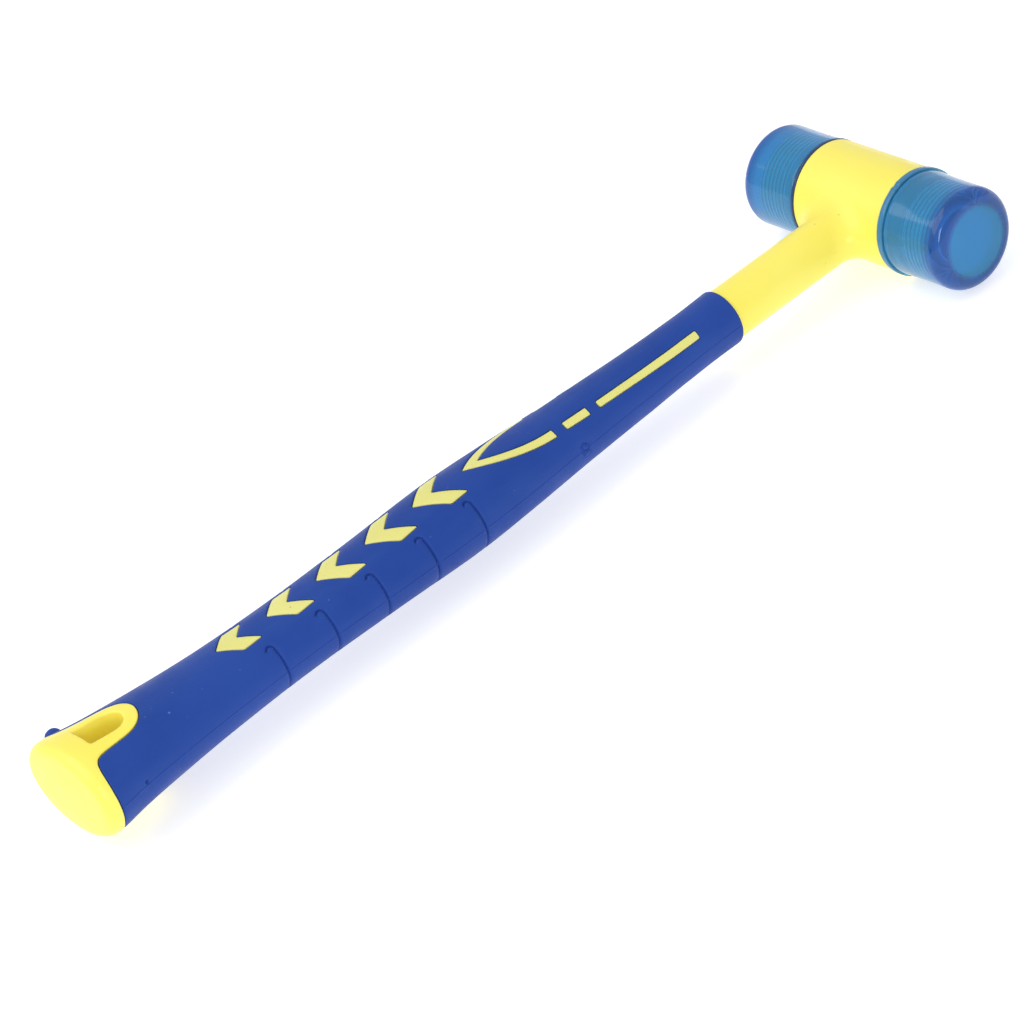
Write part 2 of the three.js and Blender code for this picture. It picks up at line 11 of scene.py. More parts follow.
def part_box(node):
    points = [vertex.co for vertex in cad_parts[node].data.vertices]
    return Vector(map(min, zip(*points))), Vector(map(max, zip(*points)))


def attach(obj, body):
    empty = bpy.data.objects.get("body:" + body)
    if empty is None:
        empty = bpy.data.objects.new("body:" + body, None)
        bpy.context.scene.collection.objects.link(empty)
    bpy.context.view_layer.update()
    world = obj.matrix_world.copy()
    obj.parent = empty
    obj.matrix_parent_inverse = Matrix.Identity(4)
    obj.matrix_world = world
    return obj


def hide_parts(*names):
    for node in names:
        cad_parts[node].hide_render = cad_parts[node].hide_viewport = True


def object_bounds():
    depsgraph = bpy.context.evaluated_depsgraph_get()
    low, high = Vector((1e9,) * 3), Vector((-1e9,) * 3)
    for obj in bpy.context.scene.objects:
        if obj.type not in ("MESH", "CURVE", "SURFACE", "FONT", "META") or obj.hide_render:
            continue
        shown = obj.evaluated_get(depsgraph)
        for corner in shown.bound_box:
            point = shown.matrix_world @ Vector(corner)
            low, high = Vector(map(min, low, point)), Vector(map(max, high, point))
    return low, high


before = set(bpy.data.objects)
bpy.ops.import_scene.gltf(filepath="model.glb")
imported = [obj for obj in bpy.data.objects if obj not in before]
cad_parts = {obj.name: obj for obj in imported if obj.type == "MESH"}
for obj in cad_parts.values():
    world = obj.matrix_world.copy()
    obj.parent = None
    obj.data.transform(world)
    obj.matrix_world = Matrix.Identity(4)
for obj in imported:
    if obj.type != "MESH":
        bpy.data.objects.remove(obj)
CAD_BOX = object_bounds()
MM = 0.001
TAU = 2 * math.pi

# ---------------- places from the CAD frame
# Shapes are written in millimetres from the head axis: X towards the head, Y along the head, Z up.


def cad(node):
    """Lowest and highest corner of a node, in millimetres from the head axis."""
    low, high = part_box(node)
    return (np.array(low) - ORIGIN) / MM, (np.array(high) - ORIGIN) / MM


core_low, core_high = (np.array(corner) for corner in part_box("head_core"))
ORIGIN = np.array([(core_low[0] + core_high[0]) / 2, 0.0, (core_low[2] + core_high[2]) / 2])

body_low, body_high = cad("head_body")
sleeve_low, sleeve_high = cad("grip_sleeve")
front_low, front_high = cad("front_face")
rear_low, _ = cad("rear_face")
front_washer_low, front_washer_high = cad("front_washer")
rear_washer_low, rear_washer_high = cad("rear_washer")
stud_low, stud_high = cad("head_core")

CAD_GAP = 0.3
HUB_R = (body_high[2] - body_low[2]) / 2
HUB_END = rear_washer_low[1] - CAD_GAP
SPIGOT_END = body_high[1]
SPIGOT_R = 13.4
SHANK_R = 8.85
FILLET_R = 10.4
GRIP_HEAD = sleeve_high[0]
COLLAR = sleeve_low[0] - CAD_GAP
BUTT = body_low[0]
CAP_DEPTH = 4.8
CAP_BULGE = 0.6
CAP_ROUNDING = 3.6
CAP_FLARE = 0.5
DOME_START = BUTT + CAP_DEPTH
GRIP_LENGTH = GRIP_HEAD - COLLAR

# Half depth and half thickness of the grip at fractions of its length from the head end.
STATIONS = np.array([
    [0.00, 9.75, 9.75], [0.015, 9.65, 9.65], [0.045, 9.55, 9.55], [0.08, 9.75, 9.65], [0.12, 10.2, 9.8],
    [0.26, 12.4, 10.9], [0.36, 14.6, 11.8], [0.45, 15.5, 12.5], [0.57, 14.9, 11.5], [0.70, 14.3, 11.2],
    [0.82, 15.3, 12.0], [0.94, 18.4, 13.9], [1.00, 21.2, 15.4],
])


# How far the grip's middle stands above the head's middle, at fractions of its length from the head end.
LIFT_ALONG = (0, 0.04, 0.15, 0.35, 0.6, 0.8, 0.9, 1.0)
LIFT_HEIGHT = (0, -0.2, -0.6, -0.45, -0.3, 0.0, 0.5, 1.1)


def catmull_rom(points, steps):
    """Smooth curve through a row of points, with steps samples to each stretch."""
    points = np.asarray(points, float)
    padded = np.vstack([2 * points[0] - points[1], points, 2 * points[-1] - points[-2]])
    result = []
    for i in range(len(points) - 1):
        p0, p1, p2, p3 = padded[i:i + 4]
        for t in np.linspace(0, 1, steps, endpoint=False):
            result.append(0.5 * (2 * p1 + (p2 - p0) * t + (2 * p0 - 5 * p1 + 4 * p2 - p3) * t ** 2
                                 + (3 * p1 - p0 - 3 * p2 + p3) * t ** 3))
    result.append(points[-1])
    return np.array(result)


SECTION_TABLE = catmull_rom(STATIONS, 40)
SECTION_TABLE = SECTION_TABLE[np.argsort(SECTION_TABLE[:, 0], kind="stable")]


def section(x):
    """Half depth (Y) and half thickness (Z) of the grip at X."""
    along = np.clip((GRIP_HEAD - np.asarray(x, float)) / GRIP_LENGTH, 0, 1)
    return (np.interp(along, SECTION_TABLE[:, 0], SECTION_TABLE[:, 1]),
            np.interp(along, SECTION_TABLE[:, 0], SECTION_TABLE[:, 2]))


def lifted(points):
    """Points of the straight grip moved onto its slightly bent middle line."""
    points = np.array(points, float)
    along = np.clip((GRIP_HEAD - points[:, 0]) / GRIP_LENGTH, 0, 1)
    points[:, 2] += np.interp(along, LIFT_ALONG, LIFT_HEIGHT)
    return points


# ---------------- mesh helpers


def build(name, parts, materials, body, nodes):
    """Joins (vertices, faces, material index) parts in millimetres into one smooth object on a CAD body."""
    mesh = bpy.data.meshes.new(name)
    vertices, faces, slots = [], [], []
    offset = 0
    for part_vertices, part_faces, material_index in parts:
        vertices.append(lifted(part_vertices) * MM + ORIGIN)
        faces += [tuple(int(i) + offset for i in face) for face in part_faces]
        slots += [material_index] * len(part_faces)
        offset += len(part_vertices)
    mesh.from_pydata(np.vstack(vertices).tolist(), [], faces)
    mesh.polygons.foreach_set("material_index", slots)
    mesh.polygons.foreach_set("use_smooth", [True] * len(faces))
    for material in materials:
        mesh.materials.append(material)
    mesh.update()
    mesh.validate()
    piece = bpy.data.objects.new(name, mesh)
    bpy.context.scene.collection.objects.link(piece)
    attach(piece, body)
    if nodes:
        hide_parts(*nodes)
    return piece


def weld(piece):
    """Joins the parts of a piece along their shared rows and turns all its faces outwards."""
    tool = bmesh.new()
    tool.from_mesh(piece.data)
    bmesh.ops.remove_doubles(tool, verts=tool.verts, dist=0.00001)
    bmesh.ops.recalc_face_normals(tool, faces=tool.faces)
    tool.to_mesh(piece.data)
    tool.free()


def grid_faces(rows, columns, closed):
    """Quads of a grid of points stored row by row; closed joins the last column to the first."""
    faces = []
    span = columns if closed else columns - 1
    for row in range(rows - 1):
        for column in range(span):
            after = (column + 1) % columns
            faces.append((row * columns + column, row * columns + after,
                          (row + 1) * columns + after, (row + 1) * columns + column))
    return faces


def flipped(faces):
    return [tuple(reversed(face)) for face in faces]


def turned(outline, segments=128, ripple=None, flip=False):
    """A surface turned about Y from [radius, y] rows; a radius of 0 at either end closes it in one point.
    ripple(radii, y, angles) may change a row's radii."""
    angles = np.linspace(0, TAU, segments, endpoint=False)
    rows = [row for row in outline if row[0] > 0]
    points = []
    for radius, y in rows:
        radii = np.full(segments, float(radius))
        if ripple is not None:
            radii = ripple(radii, y, angles)
        along = np.full(segments, float(y))
        points.append(np.stack([radii * np.sin(angles), along, radii * np.cos(angles)], 1))
    faces = grid_faces(len(rows), segments, True)
    points = np.vstack(points)
    if outline[0][0] == 0:
        faces += [(len(points), (i + 1) % segments, i) for i in range(segments)]
        points = np.vstack([points, [[0, outline[0][1], 0]]])
    if outline[-1][0] == 0:
        base = (len(rows) - 1) * segments
        faces += [(len(points), base + i, base + (i + 1) % segments) for i in range(segments)]
        points = np.vstack([points, [[0, outline[-1][1], 0]]])
    return points, flipped(faces) if flip else faces


def arc(cx, cy, radius, start, end, steps):
    angles = np.radians(np.linspace(start, end, steps + 1))
    return [[cx + radius * math.cos(a), cy + radius * math.sin(a)] for a in angles]


# ---------------- materials


class Nodes:
    """Small helper to write node trees in a readable way."""

    def __init__(self, name):
        self.material = bpy.data.materials.new(name)
        self.material.use_nodes = True
        self.tree = self.material.node_tree
        self.tree.nodes.clear()
        self.output = self.tree.nodes.new("ShaderNodeOutputMaterial")
        self.shader = self.add("ShaderNodeBsdfPrincipled")
        self.link(self.shader.outputs[0], self.output.inputs["Surface"])
        self.place = self.add("ShaderNodeTexCoord").outputs["Object"]

    def add(self, kind, **settings):
        node = self.tree.nodes.new(kind)
        for key, value in settings.items():
            setattr(node, key, value)
        return node

    def link(self, a, b):
        self.tree.links.new(a, b)

    def noise(self, scale, detail=3.0, roughness=0.5, stretch=None):
        node = self.add("ShaderNodeTexNoise")
        for socket, number in (("Scale", scale), ("Detail", detail), ("Roughness", roughness)):
            node.inputs[socket].default_value = number
        source = self.place
        if stretch is not None:
            mapping = self.add("ShaderNodeMapping")
            mapping.inputs["Scale"].default_value = stretch
            self.link(self.place, mapping.inputs["Vector"])
            source = mapping.outputs[0]
        self.link(source, node.inputs["Vector"])
        return node.outputs["Fac"]

    def specks(self, scale, size):
        """1 inside small round specks scattered in space, 0 elsewhere."""
        node = self.add("ShaderNodeTexVoronoi", feature="F1")
        node.inputs["Scale"].default_value = scale
        node.inputs["Randomness"].default_value = 1.0
        self.link(self.place, node.inputs["Vector"])
        return self.span(node.outputs["Distance"], size, size * 0.5, 0.0, 1.0)

    def coordinate(self, axis):
        """One coordinate of the shaded point, in metres."""
        parts = self.add("ShaderNodeSeparateXYZ")
        self.link(self.place, parts.inputs[0])
        return parts.outputs[axis]

    def from_axis(self):
        """Distance from the head axis, in metres."""
        across = self.math("SUBTRACT", self.coordinate(0), float(ORIGIN[0]))
        upright = self.math("SUBTRACT", self.coordinate(2), float(ORIGIN[2]))
        squares = [self.math("MULTIPLY", side, side) for side in (across, upright)]
        return self.math("SQRT", self.math("ADD", *squares), 0.0)

    def along_head(self):
        """Distance from the middle of the head along its axis, in metres."""
        return self.math("ABSOLUTE", self.coordinate(1), 0.0)

    def span(self, value, from_low, from_high, to_low, to_high):
        node = self.add("ShaderNodeMapRange")
        for socket, number in zip(("From Min", "From Max", "To Min", "To Max"),
                                  (from_low, from_high, to_low, to_high)):
            node.inputs[socket].default_value = number
        self.link(value, node.inputs["Value"])
        return node.outputs[0]

    def math(self, operation, a, b):
        node = self.add("ShaderNodeMath", operation=operation)
        for socket, value in zip(node.inputs[:2], (a, b)):
            if isinstance(value, (int, float)):
                socket.default_value = value
            else:
                self.link(value, socket)
        return node.outputs[0]

    def ramp(self, value, stops):
        node = self.add("ShaderNodeValToRGB")
        elements = node.color_ramp.elements
        while len(elements) < len(stops):
            elements.new(0.5)
        for element, (position, colour) in zip(elements, stops):
            element.position = position
            element.color = (*colour, 1)
        self.link(value, node.inputs["Fac"])
        return node.outputs["Color"]

    def mix(self, factor, a, b):
        node = self.add("ShaderNodeMix", data_type="RGBA")
        if isinstance(factor, (int, float)):
            node.inputs[0].default_value = factor
        else:
            self.link(factor, node.inputs[0])
        for socket, value in ((node.inputs[6], a), (node.inputs[7], b)):
            if isinstance(value, tuple):
                socket.default_value = (*value, 1)
            else:
                self.link(value, socket)
        return node.outputs[2]

    def bump(self, height, strength, distance, before=None):
        node = self.add("ShaderNodeBump")
        node.inputs["Strength"].default_value = strength
        node.inputs["Distance"].default_value = distance
        self.link(height, node.inputs["Height"])
        if before is not None:
            self.link(before, node.inputs["Normal"])
        return node.outputs[0]

    def set(self, **values):
        for name, value in values.items():
            socket = self.shader.inputs[name.replace("_", " ")]
            if isinstance(value, bpy.types.NodeSocket):
                self.link(value, socket)
            else:
                socket.default_value = value


def yellow_plastic(name, light, dark, roughness):
    n = Nodes(name)
    tint = n.noise(28, 2, 0.5)
    colour = n.ramp(tint, [(0.3, dark), (0.7, light)])
    dirt = n.specks(230, 0.10)
    patchy = n.span(n.noise(60, 2), 0.58, 0.72, 0.0, 0.55)
    colour = n.mix(n.math("MULTIPLY", dirt, patchy), colour, (0.30, 0.24, 0.05))
    n.set(Base_Color=colour, IOR=1.5, Subsurface_Weight=0.12, Subsurface_Radius=(1.0, 0.75, 0.25),
          Subsurface_Scale=0.002,
          Roughness=n.span(n.noise(160, 3), 0.3, 0.7, roughness - 0.05, roughness + 0.07))
    skin = n.bump(n.noise(700, 3), 0.10, 0.0002)
    n.set(Normal=n.bump(n.noise(70, 2), 0.12, 0.0008, skin))
    return n.material


def grip_rubber():
    n = Nodes("grip_rubber")
    base = n.ramp(n.noise(22, 3, 0.6), [(0.3, (0.008, 0.046, 0.275)), (0.7, (0.014, 0.060, 0.325))])
    streaks = n.span(n.noise(90, 4, 0.6, (0.25, 1.0, 1.0)), 0.5, 0.8, 0.0, 0.18)
    base = n.mix(streaks, base, (0.040, 0.115, 0.38))
    dust = n.math("MULTIPLY", n.specks(260, 0.13), n.span(n.noise(75, 2), 0.56, 0.66, 0.0, 0.30))
    base = n.mix(dust, base, (0.30, 0.40, 0.75))
    n.set(Base_Color=base, IOR=1.48, Specular_IOR_Level=0.22,
          Roughness=n.span(n.noise(120, 3), 0.3, 0.7, 0.42, 0.56))
    grain = n.bump(n.noise(1500, 3, 0.6), 0.22, 0.00025)
    n.set(Normal=n.bump(n.noise(110, 3), 0.10, 0.0006, grain))
    return n.material


def clear_blue(name, tint, absorb, density, roughness, weight):
    """Translucent moulded plastic, tinted through its thickness and a little cloudy."""
    n = Nodes(name)
    cloudy = n.ramp(n.noise(45, 3, 0.55), [(0.3, tint), (0.75, tuple(min(c * 1.12, 1) for c in tint))])
    n.set(Base_Color=cloudy, IOR=1.49, Transmission_Weight=weight,
          Roughness=n.span(n.noise(260, 2), 0.3, 0.7, roughness, roughness + 0.05),
          Normal=n.bump(n.noise(120, 1), 0.02, 0.0003))
    volume = n.add("ShaderNodeVolumeAbsorption")
    volume.inputs["Color"].default_value = (*absorb, 1)
    volume.inputs["Density"].default_value = density
    n.link(volume.outputs[0], n.output.inputs["Volume"])
    return n, cloudy


def washer_plastic(name, tint, absorb, density, roughness, weight):
    n, _ = clear_blue(name, tint, absorb, density, roughness, weight)
    return n.material


def face_plastic(name, tint, painted_shade, polished):
    """Plastic of a face with painted shade: a deeper blue at its solid end and around its striking disc,
    where light runs a longer way through the plastic; the striking disc is also rubbed dull.
    """
    n, cloudy = clear_blue(name, tint, FACE_ABSORB, FACE_DENSITY, 0.04, 0.70)
    n.set(Specular_IOR_Level=0.35)
    if polished:
        # Painted shade: a deeper blue towards the solid end, where light runs a longer way through the
        # plastic.
        solid = n.span(n.along_head(), SOLID_SHADE_START * MM, SOLID_SHADE_END * MM, 0.0, 1.0)
        n.set(Base_Color=n.mix(solid, cloudy, painted_shade))
        return n.material
    # Painted shade: a deeper blue around the striking disc, outside its dull middle.
    edge = n.span(n.from_axis(), DULL_RADIUS * MM, DISC_RADIUS * MM, 0.0, 1.0)
    n.set(Base_Color=n.mix(edge, cloudy, painted_shade),
          Roughness=n.span(n.from_axis(), DULL_RADIUS * MM, DISC_RADIUS * MM, 0.42, 0.06))
    return n.material


def threaded_plastic():
    """Plastic at the bore's thread, with a painted highlight on the crests and painted shade in the grooves
    between them.
    """
    n, _ = clear_blue("face_plastic_threaded_painted_light", (0.10, 0.60, 0.95), FACE_ABSORB, FACE_DENSITY, 0.18, 0.55)
    crest_highlight_mask = n.span(n.from_axis(), THREAD_CREST * MM, THREAD_FLOOR * MM, 0.0, 1.0)
    # Painted highlight on the thread's crests and painted shade in its floors.
    n.set(Base_Color=n.ramp(crest_highlight_mask, [(0.2, (0.32, 0.96, 1.0)), (0.65, (0.0, 0.12, 0.44))]))
    return n.material


def core_steel():
    n = Nodes("core_steel")
    n.set(Base_Color=n.ramp(n.noise(90, 3), [(0.3, (0.50, 0.53, 0.56)), (0.7, (0.68, 0.70, 0.72))]),
          Metallic=1.0, Roughness=n.span(n.noise(400, 3), 0.3, 0.7, 0.22, 0.38),
          Normal=n.bump(n.noise(900, 2, 0.5, (0.1, 1.0, 1.0)), 0.15, 0.0001))
    return n.material


def rod_fibre():
    n = Nodes("rod_fibre")
    strands = n.noise(240, 3, 0.6, (0.02, 1.0, 1.0))
    n.set(Base_Color=n.ramp(strands, [(0.3, (0.55, 0.50, 0.36)), (0.7, (0.76, 0.72, 0.58))]), Roughness=0.5,
          Normal=n.bump(n.noise(900, 2, 0.5, (0.02, 1.0, 1.0)), 0.3, 0.0002))
    return n.material


def paper_floor():
    n = Nodes("paper_floor")
    n.set(Base_Color=n.ramp(n.noise(3, 2), [(0.3, (0.64, 0.64, 0.645)), (0.7, (0.66, 0.66, 0.66))]),
          Roughness=0.85, Emission_Color=(1, 1, 1, 1), Emission_Strength=0.58)
    return n.material


YELLOW = yellow_plastic("body_plastic", (0.95, 0.84, 0.14), (0.94, 0.81, 0.10), 0.34)
INLAY = yellow_plastic("inlay_plastic", (0.77, 0.74, 0.24), (0.73, 0.69, 0.19), 0.40)
GRIP = grip_rubber()
# Tint of the faces per length of light path, the colour of their painted shade, and where the painted light
# and the finish change: along the head axis for the painted shade of the solid end, away from it for the dull
# disc with painted shade around it, and for the painted highlight on the thread's crests and painted shade in
# its floors.
FACE_ABSORB = (0.02, 0.42, 0.86)
FACE_DENSITY = 66
# Colour of the painted shade on the faces.
FACE_SHADE_COLOUR = (0.02, 0.20, 0.66)
SOLID_SHADE_START = 38.5
SOLID_SHADE_END = 43.5
DULL_RADIUS = 10.8
DISC_RADIUS = 12.8
THREAD_CREST = 10.4
THREAD_FLOOR = 11.3
FACE_WITH_PAINTED_SHADE = face_plastic("face_plastic", (0.05, 0.50, 0.90), FACE_SHADE_COLOUR, True)
DISC_WITH_PAINTED_SHADE = face_plastic("face_plastic_disc_painted_shade", (0.03, 0.50, 0.93), FACE_SHADE_COLOUR, False)
BORE_PAINTED_LIGHT = threaded_plastic()
WASHER = washer_plastic("washer_plastic", (0.08, 0.44, 0.78), (0.06, 0.45, 0.85), 60, 0.12, 0.62)
# Painted shade: the rear washer is dark navy so that it draws the dark line of shade in the joint between the
# rear face and the hub.
WASHER_PAINTED_SHADE = washer_plastic("washer_plastic_painted_shade", (0.02, 0.09, 0.30), (0.02, 0.20, 0.60), 200, 0.2, 0.55)
STEEL = core_steel()
FIBRE = rod_fibre()
FLOOR = paper_floor()

# ---------------- outlines of the grip's inlays

ARC_SCALE = 13.0
EDGE_T = ARC_SCALE * math.pi / 2


def to_domain(points):
    """[x, y] on the top of the handle to [x, t], with t growing towards -Y."""
    points = np.asarray(points, float)
    half_y, _ = section(points[:, 0])
    return np.stack([points[:, 0], ARC_SCALE * np.arcsin(np.clip(-points[:, 1] / half_y, -1, 1))], 1)


def rounded(outline, radius, steps=4):
    """Replaces each corner by a short curve that starts radius away from it, and leaves edges straight."""
    outline = np.asarray(outline, float)
    points = []
    for i, corner in enumerate(outline):
        before, after = outline[i - 1], outline[(i + 1) % len(outline)]
        to_before, to_after = before - corner, after - corner
        reach = min(radius, np.linalg.norm(to_before) * 0.45, np.linalg.norm(to_after) * 0.45)
        a = corner + to_before / np.linalg.norm(to_before) * reach
        b = corner + to_after / np.linalg.norm(to_after) * reach
        for t in np.linspace(0, 1, steps + 1):
            points.append((1 - t) ** 2 * a + 2 * t * (1 - t) * corner + t ** 2 * b)
    return np.array(points)


def dense(outline, spacing, closed=True):
    points = []
    count = len(outline)
    for i in range(count if closed else count - 1):
        a, b = outline[i], outline[(i + 1) % count]
        pieces = max(int(math.ceil(np.linalg.norm(b - a) / spacing)), 1)
        points += [a + (b - a) * k / pieces for k in range(pieces)]
    if not closed:
        points.append(outline[-1])
    return np.array(points)


def ring_area(ring):
    """Area inside a closed outline, negative where it runs clockwise."""
    ahead = np.roll(ring, -1, 0)
    return 0.5 * np.sum(ring[:, 0] * ahead[:, 1] - ahead[:, 0] * ring[:, 1])


def offset_ring(outline, distance):
    """Moves a dense closed outline outwards (positive) or inwards along its normals."""
    ahead, behind = np.roll(outline, -1, 0), np.roll(outline, 1, 0)
    tangent = ahead - behind
    tangent /= np.maximum(np.linalg.norm(tangent, axis=1), 1e-9)[:, None]
    normal = np.stack([tangent[:, 1], -tangent[:, 0]], 1) * np.sign(ring_area(outline))
    return outline + normal * distance


def mirror_y(outline):
    return [[x, -y] for x, y in reversed(list(outline))]


# Places along the grip.
CHEVRON_FIRST = 56.2
CHEVRON_PITCH = 20
CHEVRON_COUNT = 5
CHEVRON_TIPS = [COLLAR + CHEVRON_FIRST + CHEVRON_PITCH * i for i in range(CHEVRON_COUNT)]
BAR_END = GRIP_HEAD - 16.1
BAR_START = BAR_END - 43.9
DASH_END = BAR_START - 4.2
DASH_START = DASH_END - 9.8
DROP_END = DASH_START - 4.5
DROP_TIP = DROP_END - 31.2
# Sizes of the smallest chevron and how much each next one grows.
CHEVRON_HALF, CHEVRON_HALF_STEP = 6.0, 0.55
CHEVRON_OUTER, CHEVRON_OUTER_STEP = 6.1, 0.72
CHEVRON_INNER, CHEVRON_INNER_STEP = 5.3, 0.68
CHEVRON_NOTCH = 8.0
CHEVRON_FAR = 1.1
# Half widths of the drop outside and inside, the thickness of its tip and how soon its arms spread.
DROP_OUTER, DROP_INNER = 9.1, 6.6
DROP_WALL = 6.1
DROP_SPREAD = 2.3


def chevron(index, tip):
    """A chevron whose far arm is a little longer than its near one."""
    half = CHEVRON_HALF + CHEVRON_HALF_STEP * index
    outer = CHEVRON_OUTER + CHEVRON_OUTER_STEP * index
    inner = CHEVRON_INNER + CHEVRON_INNER_STEP * index
    notch = tip + CHEVRON_NOTCH
    return [[tip, 0], [tip + outer, -half], [notch + inner + 0.2, -half + 0.4], [notch, 0],
            [notch + inner * CHEVRON_FAR, (half - 0.4) * CHEVRON_FAR],
            [tip + outer * CHEVRON_FAR, half * CHEVRON_FAR]]


def drop():
    """The open drop: two arms that leave one tip and reach for the dashes."""
    outer, inner = [], []
    start = DROP_TIP + DROP_WALL
    for t in np.linspace(0, 1, 13):
        spread = 1 - (1 - t) ** DROP_SPREAD
        outer.append([DROP_TIP + (DROP_END - DROP_TIP) * t, -DROP_OUTER * spread])
        inner.append([start + (DROP_END - start) * t, -DROP_INNER * spread])
    path = outer + inner[::-1]
    return path + mirror_y(path)[1:-1]


def bar(start, end, near, far, half):
    """A straight stripe on one side, from near to far away from the middle, half its width to each side."""
    return [[start, -near - half], [end, -far - half], [end, -far + half], [start, -near + half]]


def slot_outline():
    """D-shaped: straight across towards the butt, round towards the grip."""
    far, near, half = COLLAR + 19.4, COLLAR + 4.6, 5.1
    reach = half * 1.15
    round_end = [[far - reach + reach * math.cos(a), half * math.sin(a)]
                 for a in np.radians(np.linspace(-90, 90, 15))]
    return [[near, half], [near, -half]] + round_end


def butt_outline():
    """Edge of the yellow butt: the collar line, and the tongue that reaches along the top."""
    tongue = [[COLLAR - 0.9, -20.0], [COLLAR - 0.5, -17.5], [COLLAR, -15.0], [COLLAR + 1.0, -12.6],
              [COLLAR + 3.0, -10.9], [COLLAR + 6.4, -10.0], [COLLAR + 11.5, -9.3], [COLLAR + 16.5, -8.5],
              [COLLAR + 20.3, -6.9], [COLLAR + 23, -4.1], [COLLAR + 24.2, 0]]
    path = to_domain(catmull_rom(tongue + mirror_y(tongue)[1:], 5))
    side, far = COLLAR - 1.0, DOME_START - 12
    return np.vstack([[[far, -EDGE_T * 3]], [[side, -EDGE_T * 3]], [[side, -EDGE_T]], path[::-1],
                      [[side, EDGE_T]], [[side, EDGE_T * 3]], [[far, EDGE_T * 3]]])


def inlay_outlines():
    outlines = [rounded(chevron(i, tip), 0.7) for i, tip in enumerate(CHEVRON_TIPS)]
    outlines.append(rounded(drop(), 0.35, 2))
    for start, end, near, far, half in ((DASH_START, DASH_END, 7.75, 7.75, 1.15),
                                        (BAR_START, BAR_END, 7.8, 7.2, 0.95)):
        stripe = bar(start, end, near, far, half)
        outlines += [rounded(stripe, 0.5), rounded(mirror_y(stripe), 0.5)]
    return [dense(to_domain(dense(outline, 0.7)), 0.7) for outline in outlines]


INLAYS = inlay_outlines()
SLOT = dense(to_domain(dense(rounded(slot_outline(), 0.9), 0.6)), 0.6)
BUTT_EDGE = butt_outline()
GROOVES = [COLLAR + 69.5 + 20.1 * i for i in range(5)]
GROOVE_TOP = ARC_SCALE * math.radians(46)
GROOVE_HOOK = 1.25
GROOVE_DEPTH = 0.95
GROOVE_WIDTH = 0.34


def groove_path(x, side):
    hook = [[x - GROOVE_HOOK + GROOVE_HOOK * math.cos(a), GROOVE_TOP - GROOVE_HOOK * math.sin(a)]
            for a in np.radians(np.linspace(150, 0, 8))]
    line = [[x, t] for t in np.linspace(GROOVE_TOP, EDGE_T, 16)[1:]]
    path = np.array(hook + line)
    path[:, 1] *= side
    return path


GROOVE_PATHS = [groove_path(x, side) for x in GROOVES for side in (1, -1)]

# ---------------- distances in the grip's plan


def distance_to_path(points, path, closed):
    a = path if closed else path[:-1]
    b = np.roll(path, -1, 0) if closed else path[1:]
    best = np.full(len(points), 1e9)
    margin = 2.5
    near = np.all((points > path.min(0) - margin) & (points < path.max(0) + margin), axis=1)
    chosen = np.where(near)[0]
    edge = b - a
    length = np.maximum((edge ** 2).sum(1), 1e-12)
    for block in np.array_split(chosen, max(len(chosen) // 2000, 1)):
        offset = points[block][:, None] - a[None]
        t = np.clip((offset * edge[None]).sum(2) / length[None], 0, 1)
        gap = offset - t[..., None] * edge[None]
        best[block] = np.sqrt((gap ** 2).sum(2)).min(1) if len(block) else best[block]
    return best


def inside(points, path):
    a, b = path, np.roll(path, -1, 0)
    result = np.zeros(len(points), bool)
    near = np.all((points > path.min(0) - 0.01) & (points < path.max(0) + 0.01), axis=1)
    for index in np.where(near)[0]:
        x, y = points[index]
        crosses = (a[:, 1] > y) != (b[:, 1] > y)
        with np.errstate(divide="ignore", invalid="ignore"):
            hit = x < (b[:, 0] - a[:, 0]) * (y - a[:, 1]) / (b[:, 1] - a[:, 1]) + a[:, 0]
        result[index] = np.count_nonzero(crosses & hit) % 2 == 1
    return result


def signed_distance(points, outlines):
    """Negative inside any outline."""
    best = np.full(len(points), 1e9)
    for outline in outlines:
        gap = distance_to_path(points, outline, True)
        gap = np.where(inside(points, outline), -np.where(gap > 1e8, 3.0, gap), gap)
        best = np.where(np.abs(gap) < np.abs(best), gap, best)
    return best


def fall(distance, reach, depth):
    """Rounded edge: -depth at the edge, 0 from reach on."""
    t = np.clip(1 - distance / reach, 0, 1)
    return -depth * (1 - np.sqrt(np.clip(1 - t ** 2, 0, 1)))


# ---------------- grip surface

# Millimetres in the plan: the gap around the yellow, the reach and depth of rounded edges, the skins' depth.
WINDOW = 0.26
EDGE_REACH = 0.38
EDGE_DEPTH = 0.34
PAD_EDGE_DEPTH = 0.26
PAD_SINK = 0.10
WALL_DEPTH = 1.1
RIM_REACH = 0.9
RIM_DEPTH = 0.75
SLOT_REACH = 1.0
OUTLINE_SPACING = 0.7
# Gate nub and pit as [place along the grip, radius], their heights and their distance from the parting line.
NUB = (COLLAR + 194.5, 1.2)
NUB_HEIGHT = 0.85
NUB_OFFSET = 1.2
NUB_MOAT = (1.45, 0.2, 0.35)
PIT = (COLLAR + 10.6, 0.5)
PIT_DEPTH = 0.9
PIT_OFFSET = 1.0
PARTING_HEIGHT = 0.2
PARTING_WIDTH = 0.3
# Lines of the plan beside each edge, beside the middle of each groove and beside the borders.
EDGE_LINES = (-0.38, -0.12, 0.0, WINDOW, WINDOW + 0.12, WINDOW + EDGE_REACH, WINDOW + 0.9)
SLOT_LINES = (0.0, -0.2, -0.5, -1.0)
GROOVE_LINES = (-0.75, -0.42, -0.2, 0.0, 0.2, 0.42, 0.75)
PARTING_LINES = (0.15, 0.3, 0.6)
RIM_LINES = (0.15, 0.35, 0.6, 1.0)
MARK_RINGS = (0.25, 0.5, 0.75, 1.0, 1.15, 1.3, 1.5)
PLAN_COLUMNS = 45
PLAN_ROWS = 225


